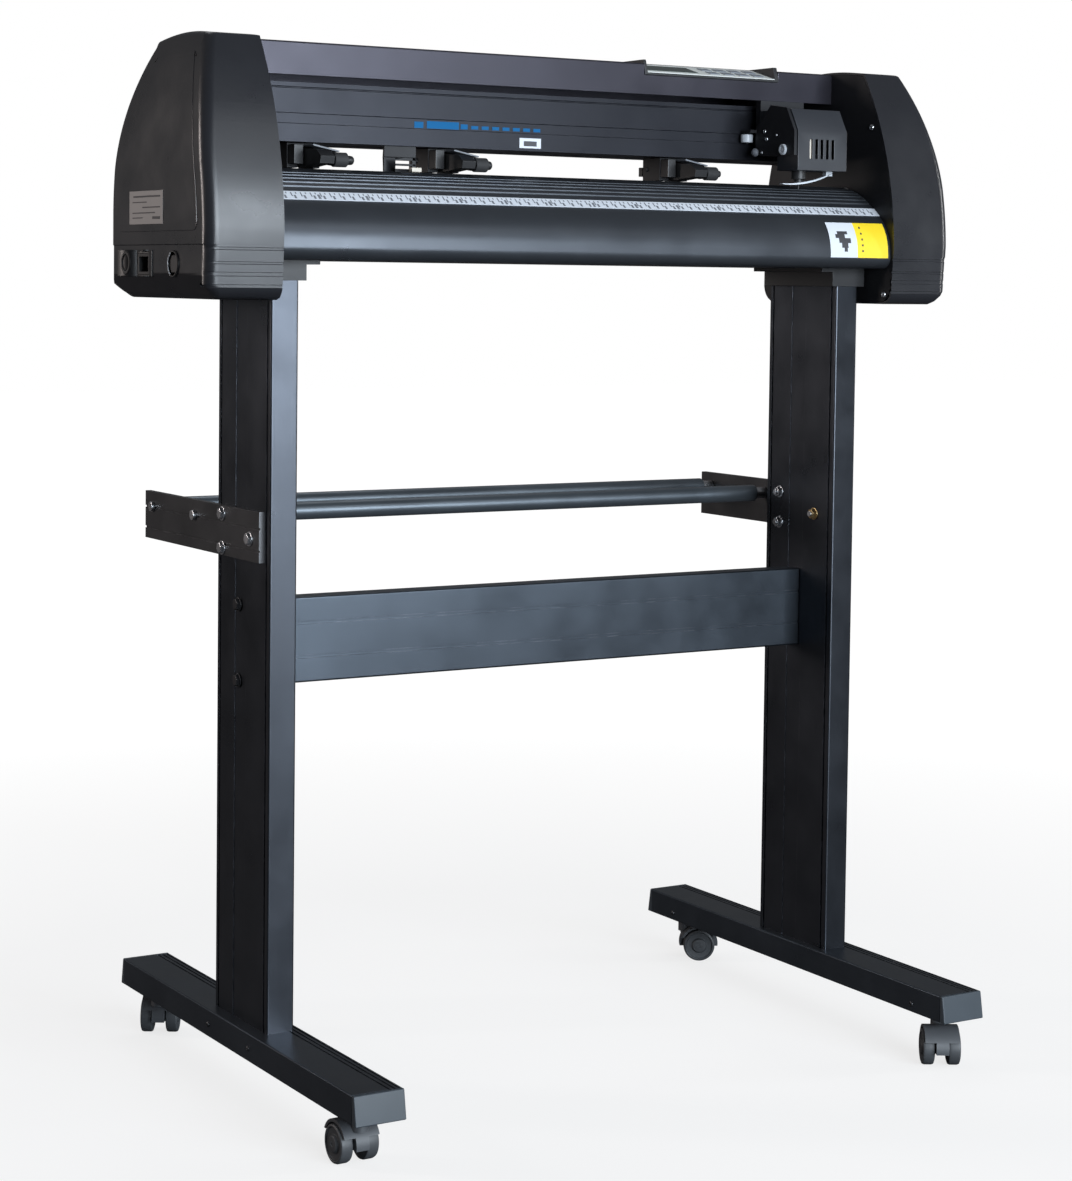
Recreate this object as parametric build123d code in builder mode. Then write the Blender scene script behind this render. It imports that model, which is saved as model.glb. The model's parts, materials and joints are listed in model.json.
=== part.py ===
from build123d import *
from math import cos, radians, sin
import os

# A roll-fed vinyl cutter on its wheeled stand. Millimetres, +Z up, origin on the floor below the
# middle of the stand. +X runs along the guide beam and -Y is the front, where the vinyl comes out.

# Stand
LEG_X = 327.5
LEG_WIDTH = 28.0
LEG_CORNER = 2.0
LEG_DEPTH = 118.0
LEG_TOP = 784.0
LEG_WALL = 2.4
FOOT_X = 329.5
FOOT_WIDTH = 50.4
FOOT_BOTTOM = 49.0
FOOT_TOP = 76.0
FOOT_WALL = 2.6
FOOT_END_Y = 260.0
CAP_TOP_Y = 264.0
CAP_BOTTOM_Y = 268.5
RAIL_LOW = 397.0
RAIL_HIGH = 480.0
RAIL_FRONT_Y = -2.0
RAIL_DEPTH = 24.0
RAIL_SCREW_Y = RAIL_FRONT_Y + RAIL_DEPTH / 2
RAIL_SCREW_Z = (RAIL_LOW + 5.0, RAIL_HIGH - 5.0)
BRACKET_THICKNESS = 6.0
BRACKET_LOW = 520.0
BRACKET_HIGH = 568.0
BRACKET_FRONT_Y = -48.0
BRACKET_REAR_Y = 225.0
BRACKET_BOLTS_YZ = ((35.0, 560.0), (35.0, 527.0), (-27.0, 541.0))
ROLLER_Z = 553.0
ROLLER_YS = {"front": 101.0, "rear": 205.0}
ROLLER_RADIUS = 9.0
ROLLER_HALF = 326.0

# Castors
STEM_X = FOOT_X
STEM_Y = 228.0
STEM_RADIUS = 4.0
WHEEL_RADIUS = 18.0
WHEEL_INNER = 7.0
WHEEL_OUTER = 19.0
CASTER_TRAIL = 16.0
CASTER_DIRECTIONS = {
    "front_left": (-1, -1, 90.0),
    "front_right": (1, -1, 239.0),
    "rear_left": (-1, 1, 59.0),
    "rear_right": (1, 1, -31.0),
}

# Head
HEAD_BOTTOM = 766.0
HEAD_TOP = 1011.5
COVER_TOP = 1013.5
COVER_CREST = 1009.0
INNER_X = 351.3
OUTER_X = 427.5
COVER_WALL = 2.6
LOW_CHAMFER = 13.0
PLATE = 2.0
COVER_SCREWS_YZ = ((-66, 952), (-91, 776), (72, 952), (104, 790))
BOARD_STANDOFF = 7.0
BASE_BOTTOM = 803.0
BEAM_FRONT = 5.0
BEAM_BACK = 84.0
BEAM_LOW = 916.0
BEAM_HIGH = 973.0
HOOD_LOW = 979.5
HOOD_WALL = 2.5
KEYWAY_Y = 45.0
PANEL_LEFT = 110.0
PANEL_RIGHT = 280.0
PANEL_BACK = 52.0
PANEL_LOW = 999.5
PANEL_HIGH = 1015.5

# Vinyl feed
RULER_THICKNESS = 0.8
RULER_LOW = (-81.5, 858.0)
RULER_HIGH = (-71.0, 866.0)
GRIT_Y = -22.0
GRIT_Z = 880.0
GRIT_SHAFT_RADIUS = 6.0
GRIT_RING_RADIUS = 9.0
GRIT_CHANNEL_RADIUS = 9.8
GRIT_RINGS_X = (-254.0, -177.0, -100.0, 38.0, 175.0, 290.0)
PINCH_XS = (-254.0, -100.0, 175.0)
PINCH_RADIUS = 7.0
PINCH_WIDTH = 14.0
PINCH_Z = 899.0
PINCH_MOUNT_LOW = 892.0
PINCH_CHEEK_Y = (18.0, 50.0)
PIVOT_Y = 42.0
PIVOT_Z = 904.0
FEED_MOTOR_Y = 50.0
FEED_MOTOR_Z = 850.0
FEED_BELT_X = (-412.0, -405.0)
FEED_SHAFT_PULLEY_RADIUS = 20.0
FEED_MOTOR_PULLEY_RADIUS = 8.0

# Carriage drive
DRIVE_X = 376.0
IDLER_X = -335.0
PULLEY_Y = 30.0
PULLEY_RADIUS = 9.0
BELT_GAP = 0.3
BELT_THICKNESS = 1.4
BELT_Z = (988.0, 994.0)

# Left end fittings
INLET_Y = 40.0
FUSE_Y = 81.0
ROCKER_Y = -31.0
ROCKER_Z = 798.0
ROCKER_X = -418.6
ROCKER_PIN = 1.5

# Carriage
CARRIAGE_LEFT = 243.0
CARRIAGE_RIGHT = 306.0
CARRIAGE_FRONT = -82.0
GUIDE_X = 236.5
GUIDE_Y = -0.3
GUIDE_RADIUS = 6.5
HOLDER_X = 262.0
HOLDER_Y = -58.0

os.makedirs("parts", exist_ok=True)


def save(builder, name):
    """Labels a finished piece and writes its STEP file."""
    builder.part.label = name
    export_step(builder.part, f"parts/{name}.step")


def block(x, y, z, mode=Mode.ADD):
    """A box between two values on each axis, in the part being built."""
    with Locations(((x[0] + x[1]) / 2, (y[0] + y[1]) / 2, (z[0] + z[1]) / 2)):
        Box(abs(x[1] - x[0]), abs(y[1] - y[0]), abs(z[1] - z[0]), mode=mode)


def rod(start, direction, radius, length, mode=Mode.ADD):
    """A cylinder from a start point along a direction, in the part being built."""
    with BuildSketch(Plane(origin=start, z_dir=direction)) as section:
        Circle(radius)
    extrude(section.sketch, amount=length, mode=mode)


def prism_x(points, x, mode=Mode.ADD):
    """A polygon of (y, z) points drawn out between two x values, in the part being built."""
    with BuildSketch(Plane.YZ.offset(min(x))) as section:
        Polygon(*points, align=None)
    extrude(section.sketch, amount=abs(x[1] - x[0]), mode=mode)


# ---------------------------------------------------------------------------------------- stand
def make_leg(name, side):
    """A hollow upright with a beaded front and back edge and a shallow recess down each face."""
    bead_y = LEG_DEPTH / 2 - 7.5
    cavity_depth = LEG_DEPTH / 2 - 1.5 * LEG_WALL
    with BuildPart() as leg:
        with BuildSketch(Plane.XY.offset(FOOT_TOP)):
            with Locations((side * LEG_X, 0)):
                RectangleRounded(LEG_WIDTH, LEG_DEPTH, LEG_CORNER)
            with Locations((side * LEG_X, LEG_DEPTH / 4), (side * LEG_X, -LEG_DEPTH / 4)):
                Rectangle(LEG_WIDTH - 2 * LEG_WALL, cavity_depth - 1, mode=Mode.SUBTRACT)
            for face_x in (side * LEG_X - LEG_WIDTH / 2, side * LEG_X + LEG_WIDTH / 2):
                with Locations((face_x, bead_y), (face_x, -bead_y)):
                    Rectangle(2.6, 2.8, mode=Mode.SUBTRACT)
                with Locations((face_x, 5.5)):
                    Rectangle(1.4, 25, mode=Mode.SUBTRACT)
        extrude(amount=LEG_TOP - FOOT_TOP)
        for y, z in BRACKET_BOLTS_YZ:
            rod((side * LEG_X - LEG_WIDTH, y, z), (1, 0, 0), 3.3, 2 * LEG_WIDTH, Mode.SUBTRACT)
        for z in RAIL_SCREW_Z:
            start = (side * LEG_X - LEG_WIDTH, RAIL_SCREW_Y, z)
            rod(start, (1, 0, 0), 3.3, 2 * LEG_WIDTH, Mode.SUBTRACT)
    save(leg, name)


def make_foot(name, side):
    """A hollow foot bar with a grooved rail along its +X edge and a socket for each castor stem."""
    middle = (FOOT_BOTTOM + FOOT_TOP) / 2
    height = FOOT_TOP - FOOT_BOTTOM
    with BuildPart() as foot:
        with BuildSketch(Plane.XZ.offset(-FOOT_END_Y)):
            with Locations((side * FOOT_X, middle)):
                RectangleRounded(FOOT_WIDTH, height, 1.5)
                Rectangle(FOOT_WIDTH - 2 * FOOT_WALL, height - 2 * FOOT_WALL, mode=Mode.SUBTRACT)
            for groove_x in (12.0, 17.0, 21.5):
                with Locations((side * FOOT_X + groove_x, FOOT_TOP)):
                    Rectangle(2.2, 2.4, mode=Mode.SUBTRACT)
        extrude(amount=2 * FOOT_END_Y)
        for y in (-STEM_Y, STEM_Y):
            rod((side * FOOT_X, y, FOOT_BOTTOM), (0, 0, 1), 9, height - 1.5)
            rod((side * FOOT_X, y, FOOT_BOTTOM), (0, 0, 1), STEM_RADIUS + 0.06, 19, Mode.SUBTRACT)
    save(foot, name)


def make_bracket(name, side):
    """A grooved flat bar outside a leg, reaching back to carry the ends of both media rollers."""
    inner = side * (LEG_X + LEG_WIDTH / 2)
    outer = inner + side * BRACKET_THICKNESS
    with BuildPart() as bracket:
        block((inner, outer), (BRACKET_FRONT_Y, BRACKET_REAR_Y), (BRACKET_LOW, BRACKET_HIGH))
        for z in (531.0, 552.0):
            block((outer - 1.2, outer + 1.2), (BRACKET_FRONT_Y, BRACKET_REAR_Y), (z - 1, z + 1), Mode.SUBTRACT)
        for y, z in BRACKET_BOLTS_YZ:
            rod((inner - side, y, z), (side, 0, 0), 3.3, 9, Mode.SUBTRACT)
        for y in ROLLER_YS.values():
            rod((inner - side, y, ROLLER_Z), (side, 0, 0), 4.1, 9, Mode.SUBTRACT)
    save(bracket, name)


def make_media_roller(name, y):
    """A free-turning tube with a plug in each end that turns on an axle screw."""
    with BuildPart() as roller:
        rod((-ROLLER_HALF, y, ROLLER_Z), (1, 0, 0), ROLLER_RADIUS, 2 * ROLLER_HALF)
        rod((-ROLLER_HALF - 1, y, ROLLER_Z), (1, 0, 0), 4.05, 2 * ROLLER_HALF + 2, Mode.SUBTRACT)
        rod((-ROLLER_HALF + 22, y, ROLLER_Z), (1, 0, 0), 7.4, 2 * ROLLER_HALF - 44, Mode.SUBTRACT)
    save(roller, name)


def make_caster(place, side_x, side_y, angle):
    """A twin-wheel castor: a hooded body with its stem, and its two wheels on one axle."""
    along = Vector(cos(radians(angle)), sin(radians(angle)), 0)
    across = Vector(-sin(radians(angle)), cos(radians(angle)), 0)
    stem = Vector(side_x * STEM_X, side_y * STEM_Y, 0)
    hub = stem + along * CASTER_TRAIL + Vector(0, 0, WHEEL_RADIUS)
    web = Plane(origin=hub + across * 6.4, x_dir=along, z_dir=-across)
    with BuildPart() as fork:
        with BuildSketch(web) as cheek:
            Circle(WHEEL_RADIUS + 4.2)
            with Locations((0, -WHEEL_RADIUS - 2)):
                Rectangle(60, 34, mode=Mode.SUBTRACT)
            Circle(7.5)
        extrude(cheek.sketch, amount=12.8)
        with BuildSketch(Plane(origin=hub + across * 17.5, x_dir=along, z_dir=-across)) as hood:
            Circle(WHEEL_RADIUS + 4.2)
            Circle(WHEEL_RADIUS + 1.4, mode=Mode.SUBTRACT)
            with Locations((0, -WHEEL_RADIUS + 4)):
                Rectangle(60, 46, mode=Mode.SUBTRACT)
        extrude(hood.sketch, amount=35)
        rod(stem + Vector(0, 0, 32), (0, 0, 1), 7.5, FOOT_BOTTOM - 32.6)
        rod(stem + Vector(0, 0, 40), (0, 0, 1), STEM_RADIUS, FOOT_BOTTOM - 40 + 17)
        for flank in (-1, 1):
            rod(hub + across * (flank * 6.6), across * flank, WHEEL_RADIUS + 0.8, 20, Mode.SUBTRACT)
        rod(hub - across * 8, across, 3.06, 16, Mode.SUBTRACT)
    save(fork, f"caster_fork_{place}")
    with BuildPart() as wheels:
        for flank in (-1, 1):
            rod(hub + across * (flank * WHEEL_INNER), across * flank, WHEEL_RADIUS, WHEEL_OUTER - WHEEL_INNER)
        rims = wheels.edges().filter_by(GeomType.CIRCLE)
        fillet(rims, 2.5)
        rod(hub - across * 8, across, 3.0, 16)
    save(wheels, f"caster_wheels_{place}")


make_leg("left_leg", -1)
make_leg("right_leg", 1)
make_foot("left_foot", -1)
make_foot("right_foot", 1)
make_bracket("left_roll_bracket", -1)
make_bracket("right_roll_bracket", 1)
for place, roller_y in ROLLER_YS.items():
    make_media_roller(f"{place}_media_roller", roller_y)
for place, (side_x, side_y, angle) in CASTER_DIRECTIONS.items():
    make_caster(place, side_x, side_y, angle)

with BuildPart() as foot_end_caps:
    for side_x in (-1, 1):
        for side_y in (-1, 1):
            wedge = [
                (side_y * FOOT_END_Y, FOOT_BOTTOM),
                (side_y * CAP_BOTTOM_Y, FOOT_BOTTOM),
                (side_y * CAP_TOP_Y, FOOT_TOP),
                (side_y * FOOT_END_Y, FOOT_TOP),
            ]
            middle = side_x * FOOT_X
            prism_x(wedge, (middle - FOOT_WIDTH / 2, middle + FOOT_WIDTH / 2))
save(foot_end_caps, "foot_end_caps")

with BuildPart() as cross_rail:
    rail_end = LEG_X - LEG_WIDTH / 2
    rail_back = RAIL_FRONT_Y + RAIL_DEPTH
    block((-rail_end, rail_end), (RAIL_FRONT_Y, rail_back), (RAIL_LOW, RAIL_HIGH))
    fillet(cross_rail.edges().filter_by(Axis.X), 2)
    block((-rail_end, rail_end), (RAIL_FRONT_Y + 3, rail_back - 3), (RAIL_LOW + 11, RAIL_HIGH - 11), Mode.SUBTRACT)
    for groove_z in (422.0, 455.0):
        block((-rail_end, rail_end), (RAIL_FRONT_Y - 1, RAIL_FRONT_Y + 1), (groove_z - 1.5, groove_z + 1.5), Mode.SUBTRACT)
    for screw_z in RAIL_SCREW_Z:
        rod((-rail_end - 1, RAIL_SCREW_Y, screw_z), (1, 0, 0), 3.1, 2 * rail_end + 2, Mode.SUBTRACT)
save(cross_rail, "cross_rail")

with BuildPart() as stand_bolts:
    for side in (-1, 1):
        leg_outer = side * (LEG_X + LEG_WIDTH / 2)
        leg_inner = side * (LEG_X - LEG_WIDTH / 2)
        for y, z in BRACKET_BOLTS_YZ:
            head_x = leg_outer + side * BRACKET_THICKNESS
            rod((head_x, y, z), (side, 0, 0), 5.5, 4)
            rod((head_x, y, z), (-side, 0, 0), 3.0, BRACKET_THICKNESS + LEG_WIDTH + 7)
            rod((leg_inner, y, z), (-side, 0, 0), 5.2, 5)
        for z in RAIL_SCREW_Z:
            rod((leg_outer, RAIL_SCREW_Y, z), (side, 0, 0), 5.5, 4)
            rod((leg_outer, RAIL_SCREW_Y, z), (-side, 0, 0), 3.0, LEG_WIDTH + 26)
save(stand_bolts, "stand_bolts")

with BuildPart() as roller_axles:
    for side in (-1, 1):
        head_x = side * (LEG_X + LEG_WIDTH / 2 + BRACKET_THICKNESS)
        for y in ROLLER_YS.values():
            rod((head_x, y, ROLLER_Z), (side, 0, 0), 5.0, 3.5)
            rod((head_x, y, ROLLER_Z), (-side, 0, 0), 4.0, BRACKET_THICKNESS + 32)
            rod((side * (ROLLER_HALF + 1.2), y, ROLLER_Z), (side, 0, 0), 6.2, 13.2)
save(roller_axles, "roller_axles")

with BuildPart() as head_saddles:
    for side in (-1, 1):
        middle = side * LEG_X
        block((middle - 20.5, middle + 21), (-61, 61), (LEG_TOP, BASE_BOTTOM))
        block((middle - side * 35, middle + side * 21), (-61, 61), (BASE_BOTTOM - 4, BASE_BOTTOM))
save(head_saddles, "head_saddles")


# --------------------------------------------------------------------------------- head end covers
def side_outline():
    """The end cover's outline from the side, as a face in the YZ plane at x = 0."""
    with BuildSketch(Plane.YZ) as outline:
        with BuildLine():
            front = ThreePointArc((-51, COVER_CREST), (-91.5, 921), (-106.5, 828))
            chin = Line(front @ 1, (-105.5, HEAD_BOTTOM + LOW_CHAMFER))
            base = Line((-92, HEAD_BOTTOM), (105, HEAD_BOTTOM))
            Line(chin @ 1, base @ 0)
            low_back = ThreePointArc(base @ 1, (117, 772), (122, 788))
            straight = Line(low_back @ 1, (122, 850))
            back = ThreePointArc(straight @ 1, (110.5, 921), (65, COVER_CREST))
            ThreePointArc(back @ 1, (6, COVER_TOP), front @ 0)
        make_face()
    return outline.sketch


def front_outline(side, inset):
    """The end cover's outline from the front, as a face in the XZ plane at y = 0."""
    with BuildSketch(Plane.XZ) as outline:
        with BuildLine():
            points = [(OUTER_X, 866), (423, 935), (404, 1007)]
            curve = ThreePointArc(*[(side * (x - inset), z - inset) for x, z in points])
            low = (side * (OUTER_X - inset), HEAD_BOTTOM + LOW_CHAMFER)
            wall = Line(curve @ 0, low)
            corner = Line(wall @ 1, (side * (OUTER_X - LOW_CHAMFER), HEAD_BOTTOM + inset))
            floor = Line(corner @ 1, (side * 300, HEAD_BOTTOM + inset))
            inner = Line(floor @ 1, (side * 300, COVER_TOP - inset))
            roof = Line(inner @ 1, (side * 398, COVER_TOP - inset))
            Line(roof @ 1, curve @ 1)
        make_face()
    return outline.sketch


def cover_body(side, inset, start_x):
    """The solid inside the cover's outer surface, or inside its inner surface at an inset."""
    with BuildPart() as body:
        profile = side_outline()
        if inset:
            profile = offset(profile, amount=-inset, mode=Mode.PRIVATE)
        extrude(profile.moved(Location((side * start_x, 0, 0))), dir=(side, 0, 0), amount=OUTER_X - start_x)
        extrude(front_outline(side, inset), amount=200, both=True, mode=Mode.INTERSECT)
    return body.part


def make_end_cover(name, side):
    """A moulded end cover, open towards the side plate, with holes for what it carries."""
    shell = cover_body(side, 0, INNER_X)
    hollow = cover_body(side, COVER_WALL, INNER_X - 5)
    with BuildPart() as cover:
        add(shell)
        add(hollow, mode=Mode.SUBTRACT)
        if side < 0:
            block((-OUTER_X - 1, -OUTER_X + 9), (INLET_Y - 14.1, INLET_Y + 14.1), (787.4, 807.6), Mode.SUBTRACT)
            rod((-OUTER_X - 1, FUSE_Y, 799), (1, 0, 0), 9.1, 9, Mode.SUBTRACT)
            rod((-OUTER_X - 1, ROCKER_Y, ROCKER_Z), (1, 0, 0), 11.5, 9, Mode.SUBTRACT)
            for lug_z in (ROCKER_Z - 15.5, ROCKER_Z + 12):
                block((-OUTER_X + 2, -414.5), (ROCKER_Y - 4, ROCKER_Y + 4), (lug_z, lug_z + 3.5))
            rod((ROCKER_X, ROCKER_Y, ROCKER_Z - 17), (0, 0, 1), ROCKER_PIN + 0.06, 34, Mode.SUBTRACT)
    save(cover, name)


def make_side_plate(name, side):
    """A flat steel plate that closes an end cover and carries the shaft, the beam and the belts."""
    with BuildPart() as plate:
        add(cover_body(side, COVER_WALL + 0.2, INNER_X))
        block((side * (INNER_X + PLATE), side * 450), (-200, 200), (700, 1100), Mode.SUBTRACT)
        rod((side * (INNER_X - 1), GRIT_Y, GRIT_Z), (side, 0, 0), 10, PLATE + 2, Mode.SUBTRACT)
        block((side * (INNER_X - 1), side * (INNER_X + 4)), (12, 50), (984, 998), Mode.SUBTRACT)
        for y, z in COVER_SCREWS_YZ:
            rod((side * (INNER_X - 1), y, z), (side, 0, 0), 1.7, PLATE + 2, Mode.SUBTRACT)
    save(plate, name)


make_end_cover("left_end_cover", -1)
make_end_cover("right_end_cover", 1)
make_side_plate("left_side_plate", -1)
make_side_plate("right_side_plate", 1)

with BuildPart() as cover_screws:
    for side in (-1, 1):
        for y, z in COVER_SCREWS_YZ:
            rod((side * INNER_X, y, z), (-side, 0, 0), 3.2, 1.6)
            rod((side * INNER_X, y, z), (side, 0, 0), 1.6, PLATE)
save(cover_screws, "cover_screws")


# ------------------------------------------------------------------------------ platen and beam
with BuildPart() as platen:
    with BuildSketch(Plane.YZ.offset(-INNER_X)):
        with BuildLine():
            lip = ThreePointArc((-90, BASE_BOTTOM), (-98, 807), (-101, 817))
            nose = ThreePointArc(lip @ 1, (-95, 842), RULER_LOW)
            ledge = Line(nose @ 1, RULER_HIGH)
            crest = ThreePointArc(ledge @ 1, (-40, 884.3), (0, 890))
            top = Line(crest @ 1, (14, 890))
            back = ThreePointArc(top @ 1, (70, 872), (95, 835))
            Polyline(back @ 1, (95, BASE_BOTTOM), lip @ 0)
        make_face()
    extrude(amount=2 * INNER_X)
    prism_x(((90, 808), (-88, 808), (-95, 816), (-86, 845), (-66, 862), (-40, 867), (64, 867), (90, 834)), (-INNER_X, INNER_X), Mode.SUBTRACT)
    rod((-INNER_X, GRIT_Y, GRIT_Z), (1, 0, 0), GRIT_CHANNEL_RADIUS, 2 * INNER_X, Mode.SUBTRACT)
    for groove_y, groove_z in ((-64.5, 871.2), (-58.5, 875.8), (-52, 879.4), (-45.5, 882.4), (-38.5, 884.6), (-8, 889.1), (6, 890)):
        block((-INNER_X, INNER_X), (groove_y - 1, groove_y + 1), (groove_z - 1.3, groove_z + 3), Mode.SUBTRACT)
save(platen, "platen")

with BuildPart() as ruler_strip:
    low = Vector(*RULER_LOW)
    up_slope = (Vector(*RULER_HIGH) - low).normalized()
    outward = Vector(-up_slope.Y, up_slope.X)
    corners = (low + up_slope * 0.4, low + up_slope * 12.8)
    corners += tuple(corner + outward * RULER_THICKNESS for corner in reversed(corners))
    prism_x([(corner.X, corner.Y) for corner in corners], (-INNER_X, INNER_X))
save(ruler_strip, "ruler_strip")

with BuildPart() as guide_beam:
    block((-INNER_X, INNER_X), (BEAM_FRONT, BEAM_BACK), (BEAM_LOW, BEAM_HIGH))
    block((-INNER_X, INNER_X), (BEAM_FRONT + 4, BEAM_BACK - 4), (BEAM_LOW + 14, BEAM_HIGH - 4), Mode.SUBTRACT)
    for y_span in ((BEAM_FRONT + 4, 34), (56, BEAM_BACK - 4)):
        block((-INNER_X, INNER_X), y_span, (BEAM_LOW + 4, BEAM_LOW + 14), Mode.SUBTRACT)
    block((-INNER_X, INNER_X), (KEYWAY_Y - 4, KEYWAY_Y + 4), (BEAM_LOW, BEAM_LOW + 8), Mode.SUBTRACT)
    block((-INNER_X, INNER_X), (BEAM_FRONT, BEAM_FRONT + 1.5), (933.6, 943.4), Mode.SUBTRACT)
    block((-INNER_X, INNER_X), (BEAM_FRONT, BEAM_FRONT + 1.2), (967.0, 968.3), Mode.SUBTRACT)
    rod((IDLER_X, PULLEY_Y, BEAM_HIGH), (0, 0, 1), 6, 12.6)
    rod((IDLER_X, PULLEY_Y, BEAM_HIGH), (0, 0, 1), 3, 26)
save(guide_beam, "guide_beam")

with BuildPart() as beam_hood:
    block((-INNER_X, INNER_X), (BEAM_FRONT, BEAM_BACK), (BEAM_HIGH, HEAD_TOP))
    top_edges = beam_hood.edges().filter_by(Axis.X).group_by(Axis.Z)[-1]
    fillet(top_edges, 2)
    inside = (BEAM_FRONT + HOOD_WALL, BEAM_BACK - HOOD_WALL)
    block((-INNER_X, INNER_X), inside, (BEAM_HIGH, HEAD_TOP - HOOD_WALL), Mode.SUBTRACT)
    block((-INNER_X, INNER_X), (BEAM_FRONT, BEAM_FRONT + HOOD_WALL), (BEAM_HIGH, HOOD_LOW), Mode.SUBTRACT)
    block((PANEL_LEFT, PANEL_RIGHT), (BEAM_FRONT - 2, PANEL_BACK), (PANEL_LOW, HEAD_TOP + 1), Mode.SUBTRACT)
save(beam_hood, "beam_hood")

with BuildPart() as panel_frame:
    back = ((PANEL_BACK, PANEL_HIGH), (PANEL_BACK, PANEL_LOW))
    cheek = ((4, PANEL_LOW), (4, PANEL_LOW + 3.5), (8, PANEL_HIGH), *back)
    bed = ((4, PANEL_LOW), (4, PANEL_LOW + 2.5), (46, PANEL_HIGH - 2), *back)
    prism_x(bed, (PANEL_LEFT, PANEL_RIGHT))
    for x_span in ((PANEL_LEFT, PANEL_LEFT + 3.5), (PANEL_RIGHT - 5, PANEL_RIGHT)):
        prism_x(cheek, x_span)
save(panel_frame, "panel_frame")

with BuildPart() as panel_overlay:
    overlay = ((4.3, 1002.12), (45.7, 1013.46), (45.5, 1014.24), (4.1, 1002.9))
    prism_x(overlay, (PANEL_LEFT + 3.5, PANEL_RIGHT - 5))
save(panel_overlay, "panel_overlay")


# ---------------------------------------------------------------------------------- vinyl feed
with BuildPart() as grit_shaft:
    rod((-414, GRIT_Y, GRIT_Z), (1, 0, 0), GRIT_SHAFT_RADIUS, 414 + 357.5)
    for ring_x in GRIT_RINGS_X:
        rod((ring_x - 11, GRIT_Y, GRIT_Z), (1, 0, 0), GRIT_RING_RADIUS, 22)
    belt_low, belt_high = FEED_BELT_X
    rod((belt_low - 0.5, GRIT_Y, GRIT_Z), (1, 0, 0), FEED_SHAFT_PULLEY_RADIUS, belt_high - belt_low + 1)
save(grit_shaft, "grit_shaft")

with BuildPart() as grit_bearings:
    for side in (-1, 1):
        rod((side * INNER_X, GRIT_Y, GRIT_Z), (side, 0, 0), 9.95, PLATE)
        rod((side * (INNER_X + PLATE), GRIT_Y, GRIT_Z), (side, 0, 0), 13, 5)
        rod((side * (INNER_X - 1), GRIT_Y, GRIT_Z), (side, 0, 0), GRIT_SHAFT_RADIUS + 0.06, 9, Mode.SUBTRACT)
save(grit_bearings, "grit_bearings")

with BuildPart() as feed_motor:
    y_span = (FEED_MOTOR_Y - 28, FEED_MOTOR_Y + 28)
    z_span = (FEED_MOTOR_Z - 28, FEED_MOTOR_Z + 28)
    block((-402, -INNER_X - PLATE), y_span, z_span)
    chamfer(feed_motor.edges().filter_by(Axis.X), 4)
    rod((-402, FEED_MOTOR_Y, FEED_MOTOR_Z), (1, 0, 0), 4.1, 12, Mode.SUBTRACT)
save(feed_motor, "feed_motor")

with BuildPart() as feed_motor_pulley:
    rod((-413, FEED_MOTOR_Y, FEED_MOTOR_Z), (1, 0, 0), FEED_MOTOR_PULLEY_RADIUS, 9)
    rod((-413, FEED_MOTOR_Y, FEED_MOTOR_Z), (1, 0, 0), 4, 22)
save(feed_motor_pulley, "feed_motor_pulley")


def belt_face(plane, first, first_radius, second, second_radius):
    """The face inside a belt line that goes round two pulleys."""
    with BuildSketch(plane) as face:
        with Locations(first):
            Circle(first_radius)
        with Locations(second):
            Circle(second_radius)
        make_hull()
    return face.sketch


with BuildPart() as feed_belt:
    for grow, mode in ((BELT_GAP + BELT_THICKNESS, Mode.ADD), (BELT_GAP, Mode.SUBTRACT)):
        loop = belt_face(
            Plane.YZ.offset(FEED_BELT_X[0]),
            (GRIT_Y, GRIT_Z), FEED_SHAFT_PULLEY_RADIUS + grow,
            (FEED_MOTOR_Y, FEED_MOTOR_Z), FEED_MOTOR_PULLEY_RADIUS + grow,
        )
        extrude(loop, amount=FEED_BELT_X[1] - FEED_BELT_X[0], mode=mode)
save(feed_belt, "feed_belt")

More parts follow.
